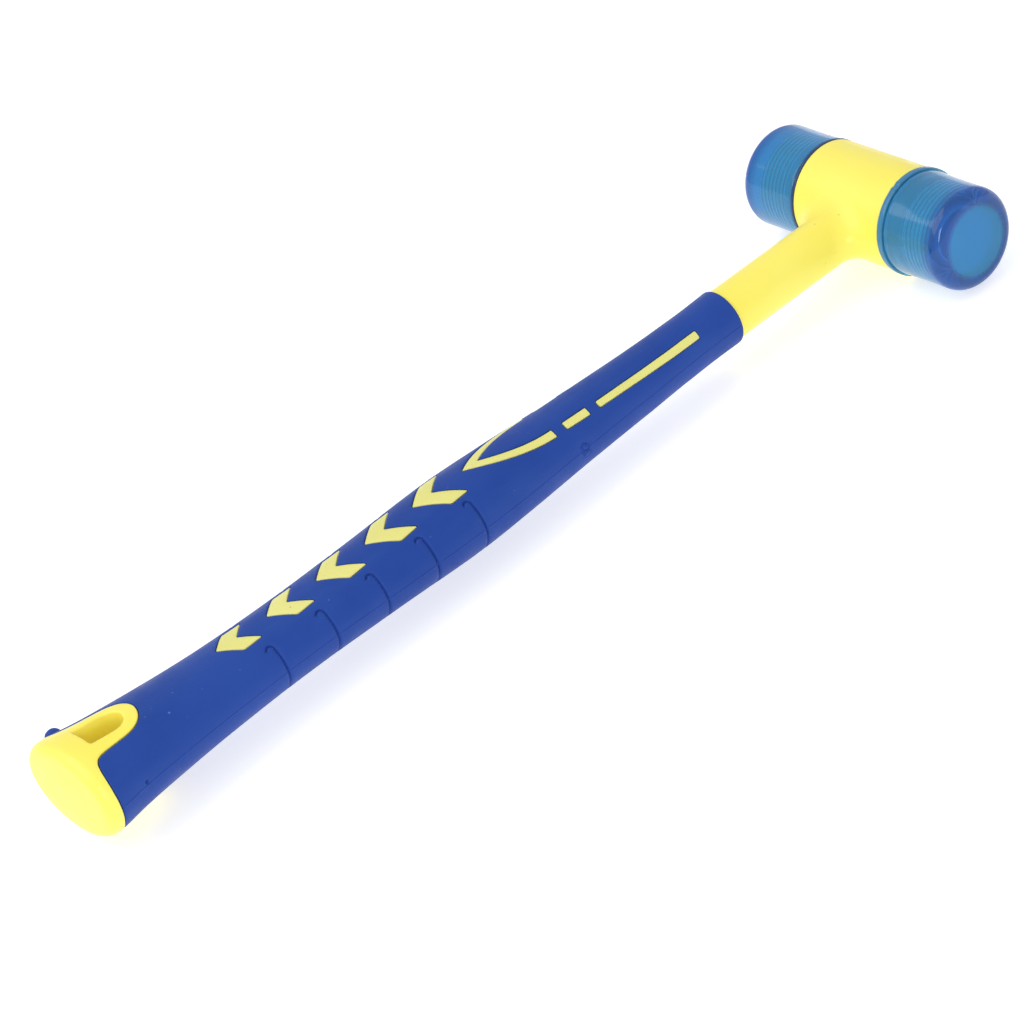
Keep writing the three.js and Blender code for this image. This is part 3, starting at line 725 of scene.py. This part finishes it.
def on_surface(domain, height):
    """Points of the plan lifted onto the handle, height millimetres proud of it."""
    x, t = domain[:, 0], domain[:, 1]
    half_y, half_z = section(x)
    angle = t / ARC_SCALE
    y, z = -half_y * np.sin(angle), half_z * np.cos(angle)
    normal = np.stack([y / half_y ** 2, z / half_z ** 2], 1)
    normal /= np.linalg.norm(normal, axis=1)[:, None]
    return np.stack([x, y + normal[:, 0] * height, z + normal[:, 1] * height], 1)


def moulding_marks(domain, above):
    """Parting ridge, finger grooves, gate nub and, above only, the pit beside the ridge, as a height."""
    x, t = domain[:, 0], domain[:, 1]
    from_edge = EDGE_T - np.abs(t)
    height = PARTING_HEIGHT * np.clip(1 - from_edge / PARTING_WIDTH, 0, 1)
    for path in GROOVE_PATHS:
        gap = distance_to_path(domain, path, False)
        height -= GROOVE_DEPTH * np.exp(-(gap / GROOVE_WIDTH) ** 2)
    nub = np.hypot(x - NUB[0], from_edge - NUB_OFFSET)
    moat_radius, moat_width, moat_depth = NUB_MOAT
    bump = NUB_HEIGHT * np.clip(1 - (nub / NUB[1]) ** 2, 0, 1)
    bump -= moat_depth * np.exp(-((nub - moat_radius) / moat_width) ** 2)
    height += np.where(t > 0, bump, 0)
    if above:
        pit = np.hypot(x - PIT[0], from_edge - PIT_OFFSET)
        height -= np.where(t > 0, PIT_DEPTH * np.exp(-(pit / PIT[1]) ** 2), 0)
    return height


def butt_line(distance):
    """The butt's edge moved by a distance, as an open line from one parting line to the other."""
    ring = offset_ring(BUTT_DENSE, distance)
    ring = ring[(np.abs(ring[:, 1]) < EDGE_T - 0.02) & (ring[:, 0] > DOME_START + 0.1)]
    ring = ring[np.argsort(ring[:, 1], kind="stable")]
    return np.vstack([[[ring[0][0], -EDGE_T]], ring, [[ring[-1][0], EDGE_T]]])


def border_points(rows, columns):
    """Points along the four borders of the plan."""
    points = [[rows[0], t] for t in columns] + [[rows[-1], t] for t in columns]
    return points + [[x, t] for x in rows[1:-1] for t in (-EDGE_T, EDGE_T)]


def groove_points():
    """Points on and beside the finger grooves."""
    points = []
    for path in GROOVE_PATHS:
        normal = np.gradient(path, axis=0)
        normal = np.stack([normal[:, 1], -normal[:, 0]], 1) / np.linalg.norm(normal, axis=1)[:, None]
        for distance in GROOVE_LINES:
            points.extend((path + normal * distance).tolist())
    return points


def mark_points():
    """Rings of points around the gate nub and the pit."""
    points = []
    nub_turns = np.radians(np.linspace(0, 360, 19)[:-1])
    pit_turns = np.radians(np.linspace(0, 360, 15))
    for radius in MARK_RINGS:
        points.extend([NUB[0] + radius * math.cos(a), EDGE_T - NUB_OFFSET - radius * math.sin(a)]
                      for a in nub_turns if NUB_OFFSET + radius * math.sin(a) > 0.02)
        small = radius * 0.7
        points.extend([PIT[0] + small * math.cos(a), EDGE_T - PIT_OFFSET - small * math.sin(a)]
                      for a in pit_turns)
    return points


def free_grid(rows, columns):
    """Even grid of points that stay clear of all edges and grooves."""
    grid = np.array([[x, t] for x in rows[1:-1] for t in columns[1:-1]])
    from_lines = np.abs(signed_distance(grid, INLAYS + [SLOT]))
    from_lines = np.minimum(from_lines, distance_to_path(grid, BUTT_DENSE, True))
    for path in GROOVE_PATHS:
        from_lines = np.minimum(from_lines, distance_to_path(grid, path, False) + 0.4)
    return grid[(from_lines > 1.35) & (np.abs(grid[:, 1]) < EDGE_T - 0.9)]


def plan_points():
    """Points and constraint edges of the plan of the top half."""
    columns = np.linspace(-EDGE_T, EDGE_T, PLAN_COLUMNS)
    rows = np.linspace(DOME_START, GRIP_HEAD, PLAN_ROWS)
    points, edges = border_points(rows, columns), []

    def add_path(path, closed):
        start, count = len(points), len(path)
        points.extend(path.tolist())
        edges.extend((start + i, start + (i + 1) % count) for i in range(count if closed else count - 1))

    for outline in INLAYS:
        for distance in EDGE_LINES:
            add_path(offset_ring(outline, distance), True)
    for distance in SLOT_LINES:
        add_path(offset_ring(SLOT, -distance), True)
    for distance in EDGE_LINES:
        add_path(butt_line(distance), False)
    points += groove_points()
    for distance in PARTING_LINES:
        points.extend([x, side * (EDGE_T - distance)] for x in rows[1:-1] for side in (-1, 1))
    for distance in RIM_LINES:
        points.extend([GRIP_HEAD - distance, t] for t in columns[1:-1])
    points += mark_points()
    fixed = np.array(points)
    slack = 1e-6
    clear = np.abs(fixed[:, 1]) <= EDGE_T + slack
    clear &= (fixed[:, 0] >= DOME_START - slack) & (fixed[:, 0] <= GRIP_HEAD + slack)
    remap = np.cumsum(clear) - 1
    edges = [(int(remap[a]), int(remap[b])) for a, b in edges if clear[a] and clear[b]]
    return np.vstack([fixed[clear], free_grid(rows, columns)]), edges


def triangulate():
    points, edges = plan_points()
    result = delaunay_2d_cdt([Vector(p) for p in points.tolist()], edges, [], 0, 1e-6, False)
    plan = np.array([[v.x, v.y] for v in result[0]])
    return plan, np.array([list(face) for face in result[2]])


BUTT_DENSE = dense(BUTT_EDGE, OUTLINE_SPACING)
PLAN, TRIANGLES = triangulate()
TO_INLAY = signed_distance(PLAN, INLAYS)
TO_BUTT = signed_distance(PLAN, [BUTT_DENSE])
TO_BUTT = np.where(TO_BUTT > 1e8, np.where(PLAN[:, 0] < COLLAR, -3.0, TO_BUTT), TO_BUTT)
TO_SLOT = signed_distance(PLAN, [SLOT])
CENTRES = PLAN[TRIANGLES].mean(1)
CENTRE_INLAY = signed_distance(CENTRES, INLAYS)
CENTRE_BUTT = signed_distance(CENTRES, [BUTT_DENSE])
CENTRE_SLOT = signed_distance(CENTRES, [SLOT])

is_butt = CENTRE_BUTT < 0
is_slot = CENTRE_SLOT < 0
is_pad = (CENTRE_INLAY < 0) & ~is_butt
is_sleeve = (CENTRE_INLAY > WINDOW) & (CENTRE_BUTT > WINDOW)


def below(vertices, faces):
    """Mirror image of a part of the top half."""
    return vertices * [1, 1, -1], flipped(faces)


def both_halves(vertices, faces):
    """Top half plus its mirror image below."""
    low_vertices, low_faces = below(vertices, faces)
    faces = list(map(tuple, faces)) + [tuple(i + len(vertices) for i in face) for face in low_faces]
    return np.vstack([vertices, low_vertices]), faces


def compact(vertices, faces):
    used = np.unique(faces)
    remap = np.full(len(vertices), -1)
    remap[used] = np.arange(len(used))
    return vertices[used], remap[faces]


def oriented(vertices, faces):
    """Turns every face of the top half outwards."""
    a, b, c = (vertices[faces[:, i]] for i in range(3))
    normal = np.cross(b - a, c - a)
    middle = (a + b + c) / 3
    outward = middle * [0, 1, 1]
    wrong = (normal * outward).sum(1) < 0
    faces = faces.copy()
    faces[wrong] = faces[wrong][:, ::-1]
    return faces


def surface_part(chosen, height):
    """The chosen triangles of the plan, lifted onto the top half."""
    points, faces = compact(on_surface(PLAN, height), TRIANGLES[chosen])
    return points, list(map(tuple, oriented(points, faces)))


def wall_strip(ring, top, bottom, inward):
    """Wall that drops from a closed outline of the plan."""
    upper, lower = on_surface(ring, top), on_surface(ring, bottom)
    faces = grid_faces(2, len(ring), True)
    return np.vstack([upper, lower]), flipped(faces) if (ring_area(ring) > 0) == inward else faces


def open_wall(path, top, bottom, towards_head):
    """Wall below an open line that runs from one parting line to the other, above and below."""
    upper, lower = on_surface(path, top), on_surface(path, bottom)
    faces = grid_faces(2, len(path), False)
    return both_halves(np.vstack([upper, lower]), flipped(faces) if towards_head else faces)


def underside(vertices, faces):
    """The same part facing into the handle."""
    return vertices, flipped(faces)


def sleeve_height(from_yellow, above):
    """Height of the sleeve's skin, given each point's distance to the yellow it borders."""
    return (fall(np.maximum(from_yellow - WINDOW, 0), EDGE_REACH, EDGE_DEPTH)
            + fall(GRIP_HEAD - PLAN[:, 0], RIM_REACH, RIM_DEPTH) + moulding_marks(PLAN, above))


def rubber_nub():
    """Round nub that stands on the far side of the sleeve, next to the butt."""
    radius, height, angle, sunk = 3.0, 3.2, math.radians(-62), 0.6
    rings, segments = 10, 32
    x = COLLAR + 4.9
    half_y, half_z = (float(v) for v in section(x))
    foot = np.array([x, -half_y * math.sin(angle), half_z * math.cos(angle)])
    out = np.array([0, foot[1] / half_y ** 2, foot[2] / half_z ** 2])
    out /= np.linalg.norm(out)
    along = np.array([1.0, 0, 0])
    across = np.cross(out, along)
    foot -= out * sunk
    turn = np.linspace(0, TAU, segments, endpoint=False)
    circle = np.outer(np.cos(turn), along) + np.outer(np.sin(turn), across)
    rows = []
    for rise in np.radians(np.linspace(0, 86, rings)):
        rows.append(foot + out * height * math.sin(rise) + radius * math.cos(rise) ** 0.8 * circle)
    top = tuple(range((rings - 1) * segments, rings * segments))
    return np.vstack(rows), grid_faces(rings, segments, True) + [top, tuple(reversed(range(segments)))]


def make_sleeve():
    """Rubber sleeve with its windows: skin, inner side, walls of all openings and the nub."""
    bottom = np.full(len(PLAN), -WALL_DEPTH)
    whole = CENTRE_BUTT > WINDOW
    parts = [
        surface_part(is_sleeve, sleeve_height(np.minimum(TO_INLAY, TO_BUTT), True)),
        below(*surface_part(whole, sleeve_height(TO_BUTT, False))),
        underside(*surface_part(is_sleeve, bottom)),
        underside(*below(*surface_part(whole, bottom))),
    ]
    parts += [wall_strip(offset_ring(outline, WINDOW), -EDGE_DEPTH, -WALL_DEPTH, True) for outline in INLAYS]
    parts.append(open_wall(butt_line(WINDOW), -EDGE_DEPTH, -WALL_DEPTH, False))
    head_rim = np.array([[GRIP_HEAD, t] for t in np.linspace(-EDGE_T, EDGE_T, PLAN_COLUMNS)])
    parts.append(open_wall(head_rim, -RIM_DEPTH, -WALL_DEPTH, False))
    parts.append(rubber_nub())
    weld(build("grip_sleeve_moulding", [(*part, 0) for part in parts], [GRIP], "root", ["grip_sleeve"]))


def pads():
    """Yellow pads that fill the sleeve's windows."""
    height = -PAD_SINK + fall(np.maximum(-TO_INLAY, 0), EDGE_REACH, PAD_EDGE_DEPTH)
    parts = [surface_part(is_pad, height), underside(*surface_part(is_pad, np.full(len(PLAN), -WALL_DEPTH)))]
    return parts + [wall_strip(outline, -PAD_SINK - PAD_EDGE_DEPTH, -WALL_DEPTH, False) for outline in INLAYS]


def handle_core():
    """Core of the handle below the sleeve, seen only down the gaps."""
    rings, segments = 60, 64
    angles = np.linspace(0, TAU, segments, endpoint=False)
    points = []
    for x in np.linspace(GRIP_HEAD - 0.5, COLLAR + 27, rings):
        half_y, half_z = (float(v) - WALL_DEPTH + 0.15 for v in section(x))
        along = np.full(segments, x)
        points.append(np.stack([along, half_y * np.sin(angles), half_z * np.cos(angles)], 1))
    ends = [tuple(reversed(range(segments))), tuple(range((rings - 1) * segments, rings * segments))]
    return np.vstack(points), flipped(grid_faces(rings, segments, True) + ends)


def butt_curtain():
    """Closes the butt inside the handle, from its upper edge straight down to its lower edge."""
    upper = on_surface(butt_line(0.0), -WALL_DEPTH)
    return np.vstack([upper, upper * [1, 1, -1]]), flipped(grid_faces(2, len(upper), False))


def slot_wall():
    """Wall of the hang slot, straight through the butt."""
    rim = on_surface(SLOT, -RIM_DEPTH)
    rows = [rim * [1, 1, s] for s in np.linspace(1, -1, 9)]
    faces = grid_faces(len(rows), len(SLOT), True)
    return np.vstack(rows), flipped(faces) if ring_area(SLOT) > 0 else faces


def butt_dome():
    """Rounded end of the butt, from the dome's first ring to its middle."""
    half_turn = math.pi / 2
    angles = np.concatenate([np.linspace(-half_turn, half_turn, PLAN_COLUMNS),
                             np.linspace(half_turn, 1.5 * math.pi, PLAN_COLUMNS)[1:-1]])
    count = len(angles)
    rows = []
    half_y, half_z = (float(v) for v in section(DOME_START))
    for turn in np.radians(np.linspace(0, 84, 12)):
        back = CAP_ROUNDING * (1 - math.cos(turn))
        x = DOME_START - (CAP_DEPTH - CAP_BULGE) * math.sin(turn)
        rows.append((x, half_y - back, half_z + CAP_FLARE * math.sin(turn) - back))
    edge_x, flat_y, flat_z = rows[-1]
    for scale in np.linspace(0.93, 0.01, 16):
        rows.append((edge_x - (edge_x - BUTT) * (1 - scale ** 2), flat_y * scale, flat_z * scale))
    points = [np.stack([np.full(count, x), -y * np.sin(angles), z * np.cos(angles)], 1) for x, y, z in rows]
    middle = tuple(range((len(rows) - 1) * count, len(rows) * count))
    return np.vstack(points), grid_faces(len(rows), count, True) + [middle]


def butt():
    """Yellow butt with its tongue: skin, edge, the curtain inside, hang slot and domed end."""
    height = (fall(np.maximum(-TO_BUTT, 0), EDGE_REACH, EDGE_DEPTH)
              + fall(np.maximum(TO_SLOT, 0), SLOT_REACH, RIM_DEPTH))
    skin = both_halves(*surface_part(is_butt & ~is_slot, height))
    edge = open_wall(butt_line(0.0), -EDGE_DEPTH, -WALL_DEPTH, True)
    return [skin, edge, butt_curtain(), slot_wall(), butt_dome()]


# ---------------- hub and shank

HUB_SEGMENTS = 92
SIDE_COLUMNS = 36
SHANK_ROWS = 24
FILLET_ROWS = 20
SKIN_ROWS = 40
RIM_R = 0.55
SPIGOT_RIM_R = 0.5
STUD_HOLE_R = 10.45
STUD_HOLE_DEPTH = 7.5


def hub_and_shank():
    """Shank, rolling-ball fillet and hub skin as one grid around the shank's axis.
    The skin ends in the rectangle of the unrolled hub, with one column at each corner."""
    half_end = HUB_SEGMENTS // 2
    columns = 2 * (HUB_SEGMENTS + SIDE_COLUMNS)
    turn = np.linspace(0, TAU, columns, endpoint=False) + 1e-4
    ball = SHANK_R + FILLET_R
    centre_y, centre_z = ball * np.cos(turn), ball * np.sin(turn)
    centre_x = -np.sqrt((HUB_R + FILLET_R) ** 2 - centre_z ** 2)
    centre = np.stack([centre_x, centre_y, centre_z], 1)
    on_shank = np.stack([centre_x, SHANK_R * np.cos(turn), SHANK_R * np.sin(turn)], 1)
    share = HUB_R / (HUB_R + FILLET_R)
    on_hub = np.stack([centre_x * share, centre_y, centre_z * share], 1)
    rows = []
    start = on_shank.copy()
    start[:, 0] = GRIP_HEAD - 1.2
    for t in np.linspace(0, 1, SHANK_ROWS, endpoint=False):
        rows.append(start * (1 - t) + on_shank * t)
    from_shank, from_hub = on_shank - centre, on_hub - centre
    angle = np.arccos(np.clip((from_shank * from_hub).sum(1) / FILLET_R ** 2, -1, 1))
    for t in np.linspace(0, 1, FILLET_ROWS):
        weight_a = np.sin((1 - t) * angle) / np.sin(angle)
        weight_b = np.sin(t * angle) / np.sin(angle)
        rows.append(centre + from_shank * weight_a[:, None] + from_hub * weight_b[:, None])
    around = HUB_R * np.arctan2(on_hub[:, 2], -on_hub[:, 0])
    along = on_hub[:, 1]
    limit_y, limit_around = HUB_END - RIM_R, math.pi * HUB_R
    corners = np.cumsum([0, half_end, SIDE_COLUMNS, HUB_SEGMENTS, SIDE_COLUMNS, half_end])
    end_around = np.interp(np.arange(columns), corners, np.array([0, 1, 1, -1, -1, 0]) * limit_around)
    end_y = np.interp(np.arange(columns), corners, np.array([1, 1, -1, -1, 1, 1]) * limit_y)
    for t in np.linspace(0, 1, SKIN_ROWS)[1:]:
        u, y = around + (end_around - around) * t, along + (end_y - along) * t
        rows.append(np.stack([-HUB_R * np.cos(u / HUB_R), y, HUB_R * np.sin(u / HUB_R)], 1))
    faces = flipped(grid_faces(len(rows), columns, True))
    return np.vstack(rows), faces + [tuple(range(columns))]


def hub_end(side):
    """End of the hub: rounded rim, seat, spigot and the hole that the stud leaves by."""
    bottom = SPIGOT_END - STUD_HOLE_DEPTH
    outline = arc(HUB_R - RIM_R, HUB_END - RIM_R, RIM_R, 0, 90, 5)
    outline += [[SPIGOT_R + 0.2, HUB_END], [SPIGOT_R, HUB_END + 0.2]]
    outline += arc(SPIGOT_R - SPIGOT_RIM_R, SPIGOT_END - SPIGOT_RIM_R, SPIGOT_RIM_R, 0, 90, 4)
    outline += [[STUD_HOLE_R + 0.05, SPIGOT_END], [STUD_HOLE_R, SPIGOT_END - 0.1]]
    outline += [[STUD_HOLE_R, bottom], [0, bottom]]
    outline = [[radius, side * y] for radius, y in outline]
    return turned(outline, HUB_SEGMENTS, flip=side < 0)


def make_body():
    """The yellow moulding: hub, shank and butt, with the pads and the core of the handle."""
    parts = [(*part, 0) for part in [hub_and_shank(), hub_end(1), hub_end(-1)] + butt()]
    parts += [(*part, 1) for part in pads() + [handle_core()]]
    weld(build("head_body_moulding", parts, [YELLOW, INLAY], "root", ["head_body"]))


make_body()
make_sleeve()

# ---------------- faces, washers and studs

PITCH = 1.75
THREAD_R = 11.0
THREAD_DEPTH = 0.9
RELIEF_R = 13.7
RELIEF_DEPTH = 5.0
BORE_DEPTH = 18.5
BORE_R = THREAD_R + CAD_GAP - THREAD_DEPTH
MOUTH_R = 17.35
MOUTH_RIM_R = 0.45
FACE_END_R = 17.15
FACE_ROUNDING = 4.3
WAIST_DIP = 0.15
FACE_SEGMENTS = 144
BORE_ROWS = 118
WASHER_SEGMENTS = 160
WASHER_SPREAD = 0.2
WASHER_RIM_R = 0.35
NICK_ANGLE = math.radians(-18)
CORE_HALF = 16.5
STUD_THREAD_LENGTH = 12.6
STUD_ROWS = 104


def thread_ripple(root, depth, start, end):
    """Radius of a right-hand thread between two places along Y, fading out over a half turn at each end."""
    def ripple(radii, y, angles):
        phase = (y / PITCH - angles / TAU) % 1.0
        ridge = np.clip(1.35 - np.abs(phase - 0.5) * 4.1, 0, 1)
        ridge = ridge * ridge * (3 - 2 * ridge)
        fade = np.clip(min(y - start, end - y) / (PITCH * 0.5), 0, 1)
        return np.where(np.full(len(angles), start <= y <= end), root + depth * ridge * fade, radii)
    return ripple


def face_outline():
    """Side of a face from its mouth to its striking disc, as [radius, distance from mouth]."""
    length = front_high[1] - front_low[1]
    straight = length - FACE_ROUNDING - MOUTH_RIM_R
    outline = [[RELIEF_R + 0.2, 0.0], [MOUTH_R - 0.5, 0.0]]
    outline += arc(MOUTH_R - MOUTH_RIM_R, MOUTH_RIM_R, MOUTH_RIM_R, -70, 0, 4)
    for t in np.linspace(0.04, 1, 22):
        dip = WAIST_DIP * math.sin(math.pi * t ** 0.9) ** 1.4
        outline.append([MOUTH_R + (FACE_END_R - MOUTH_R) * t - dip, MOUTH_RIM_R + straight * t])
    return outline + arc(FACE_END_R - FACE_ROUNDING, length - FACE_ROUNDING, FACE_ROUNDING, 4, 86, 14)


def face_disc():
    """Striking disc of a face, from its rim to its middle."""
    rim, length = face_outline()[-1]
    return [[rim, length]] + [[(rim - 0.2) * share, length] for share in (1.0, 0.8, 0.6, 0.4, 0.2, 0.08, 0)]


def face_cavity():
    """Bore of a face from the middle of its bottom back to the mouth."""
    root = THREAD_R + CAD_GAP
    rows = [[0, BORE_DEPTH]] + [[(root - 1.0) * share, BORE_DEPTH] for share in (0.08, 0.3, 0.6, 0.9, 1.0)]
    rows += [[BORE_R, y] for y in np.linspace(BORE_DEPTH - 0.05, RELIEF_DEPTH + 0.05, BORE_ROWS)]
    rows += [[root + 0.3, RELIEF_DEPTH], [RELIEF_R - 0.2, RELIEF_DEPTH], [RELIEF_R, RELIEF_DEPTH - 0.2]]
    rows += [[RELIEF_R, y] for y in (3.5, 2.0, 0.4)] + [[RELIEF_R + 0.2, 0.0]]
    return rows


def make_face(name, node, mouth, side, body):
    def skin(rows, change=None):
        placed = [[radius, side * (mouth + along)] for radius, along in rows]
        return turned(placed, FACE_SEGMENTS, change, side < 0)

    span = sorted([side * (mouth + RELIEF_DEPTH), side * (mouth + BORE_DEPTH)])
    ripple = thread_ripple(BORE_R, THREAD_DEPTH, *span)

    def shaped(radii, y, angles):
        return ripple(radii, y, angles) if abs(radii[0] - BORE_R) < 1e-6 else radii

    cavity = face_cavity()
    parts = [(*skin(face_outline()), 0), (*skin(face_disc()), 1), (*skin(cavity[:6]), 1),
             (*skin(cavity[5:], shaped), 2)]
    weld(build(name, parts, [FACE_WITH_PAINTED_SHADE, DISC_WITH_PAINTED_SHADE, BORE_PAINTED_LIGHT], body, [node]))


make_face("front_face_moulding", "front_face", -front_high[1], -1, "front_face")
make_face("rear_face_moulding", "rear_face", rear_low[1], 1, "rear_face")


def make_washer(name, node, low, high, body, material, nick):
    """A turned ring with soft edges; nick is a small moulding mark on its rim."""
    inner, outer = SPIGOT_R + CAD_GAP, (high[2] - low[2]) / 2
    start, end = low[1] - WASHER_SPREAD, high[1] + WASHER_SPREAD
    soft = min(WASHER_RIM_R, (end - start) * 0.4)
    outline = [[inner, start + 0.1], [inner + 0.1, start]]
    outline += arc(outer - soft, start + soft, soft, -90, 0, 5)
    outline += arc(outer - soft, end - soft, soft, 0, 90, 5)
    outline += [[inner + 0.1, end], [inner, end - 0.1], [inner, start + 0.1]]

    def marked(radii, y, angles):
        gap = np.abs((angles - nick + math.pi) % TAU - math.pi)
        dent = 0.30 * np.exp(-(gap / 0.035) ** 2) - 0.18 * np.exp(-((gap - 0.075) / 0.025) ** 2)
        return np.where(radii > outer - 0.6, radii - dent, radii)

    part = turned(outline, WASHER_SEGMENTS, marked if nick is not None else None)
    weld(build(name, [(*part, 0)], [material], body, [node]))


make_washer("front_washer_ring", "front_washer", front_washer_low, front_washer_high, "front_seat", WASHER,
            NICK_ANGLE)
# The rear washer carries painted shade: its dark navy draws the shadowed line at the rear face's joint.
make_washer("rear_washer_ring", "rear_washer", rear_washer_low, rear_washer_high, "rear_seat", WASHER_PAINTED_SHADE,
            None)


def make_core():
    """Steel weight in the hub with its two threaded studs."""
    reach = stud_high[1]
    half, radius = CORE_HALF, (stud_high[0] - stud_low[0]) / 2
    root = THREAD_R - THREAD_DEPTH
    thread_from = reach - STUD_THREAD_LENGTH
    side = [[0, reach]] + [[(root - 1.2) * share, reach] for share in (0.1, 0.4, 0.7, 1.0)]
    side += [[root - 0.4, reach - 0.3]]
    side += [[root, y] for y in np.linspace(reach - 0.6, thread_from, STUD_ROWS)]
    side += [[root, y] for y in np.linspace(thread_from - 0.5, half + 0.1, 6)]
    side += [[radius - 0.8, half], [radius, half - 0.8]]
    outline = side + [[r, -y] for r, y in reversed(side)]
    rear = thread_ripple(root, THREAD_DEPTH, thread_from, reach - 0.4)
    front = thread_ripple(root, THREAD_DEPTH, 0.4 - reach, -thread_from)

    def shaped(radii, y, angles):
        if abs(radii[0] - root) >= 1e-6:
            return radii
        return (rear if y > 0 else front)(radii, y, angles)

    part = turned(outline, FACE_SEGMENTS, shaped, flip=True)
    build("head_core_steel", [(*part, 0)], [STEEL], "root", ["head_core"])


make_core()

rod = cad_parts["handle_rod"]
rod.data.materials.clear()
rod.data.materials.append(FIBRE)

# ---------------- floor, light and camera

FLOOR_HALF = 6.0
FLOOR_DROP = 0.0005


def make_floor():
    mesh = bpy.data.meshes.new("floor")
    corners = [(FLOOR_HALF * x, FLOOR_HALF * y, 0) for x, y in ((-1, -1), (1, -1), (1, 1), (-1, 1))]
    mesh.from_pydata(corners, [], [(0, 1, 2, 3)])
    mesh.materials.append(FLOOR)
    floor = bpy.data.objects.new("floor", mesh)
    floor.location = (0, 0, CAD_BOX[0][2] - FLOOR_DROP)
    bpy.context.scene.collection.objects.link(floor)


make_floor()


def area_light(name, place, target, width, height, power):
    data = bpy.data.lights.new(name, "AREA")
    data.shape = "RECTANGLE"
    data.size, data.size_y = width, height
    data.energy = power
    light = bpy.data.objects.new(name, data)
    light.location = place
    direction = Vector(target) - Vector(place)
    light.rotation_euler = direction.to_track_quat("-Z", "Y").to_euler()
    bpy.context.scene.collection.objects.link(light)


centre = (np.array(CAD_BOX[0]) + np.array(CAD_BOX[1])) / 2
area_light("key_light", (-1.2, 0.6, 2.0), centre, 2.4, 2.0, 22)
area_light("strip_light", (-0.60, -0.88, 0.47), (0.16, -0.04, 0.02), 0.22, 0.5, 2.2)

world = bpy.data.worlds.new("studio")
world.use_nodes = True
background = world.node_tree.nodes["Background"]
background.inputs["Color"].default_value = (1.0, 1.0, 1.0, 1)
background.inputs["Strength"].default_value = 0.78
bpy.context.scene.world = world
bpy.context.scene.view_settings.view_transform = "Standard"

# Camera, in millimetres from the head axis, with its axes as rows: right, up, back.
CAMERA_PLACE = np.array([-831.3, -1097.4, 829.8])
CAMERA_ANGLES = (-31.2, 33.29, -18.12)
CAMERA_LENS = 173.35


def camera_axes(azimuth, elevation, roll):
    a, e, r = (math.radians(v) for v in (azimuth, elevation, roll))
    back = Vector((math.sin(a) * math.cos(e), -math.cos(a) * math.cos(e), math.sin(e)))
    right = Vector((0, 0, 1)).cross(back).normalized()
    up = back.cross(right)
    return math.cos(r) * right + math.sin(r) * up, -math.sin(r) * right + math.cos(r) * up, back


camera_data = bpy.data.cameras.new("camera")
camera_data.sensor_width = 36
camera_data.lens = CAMERA_LENS
camera_data.clip_start = 0.05
camera_data.clip_end = 30
camera = bpy.data.objects.new("camera", camera_data)
right, up, back = camera_axes(*CAMERA_ANGLES)
turned_axes = Matrix((right, up, back)).transposed().to_4x4()
camera.matrix_world = Matrix.Translation(Vector(CAMERA_PLACE * MM + ORIGIN)) @ turned_axes
bpy.context.scene.collection.objects.link(camera)
bpy.context.scene.camera = camera
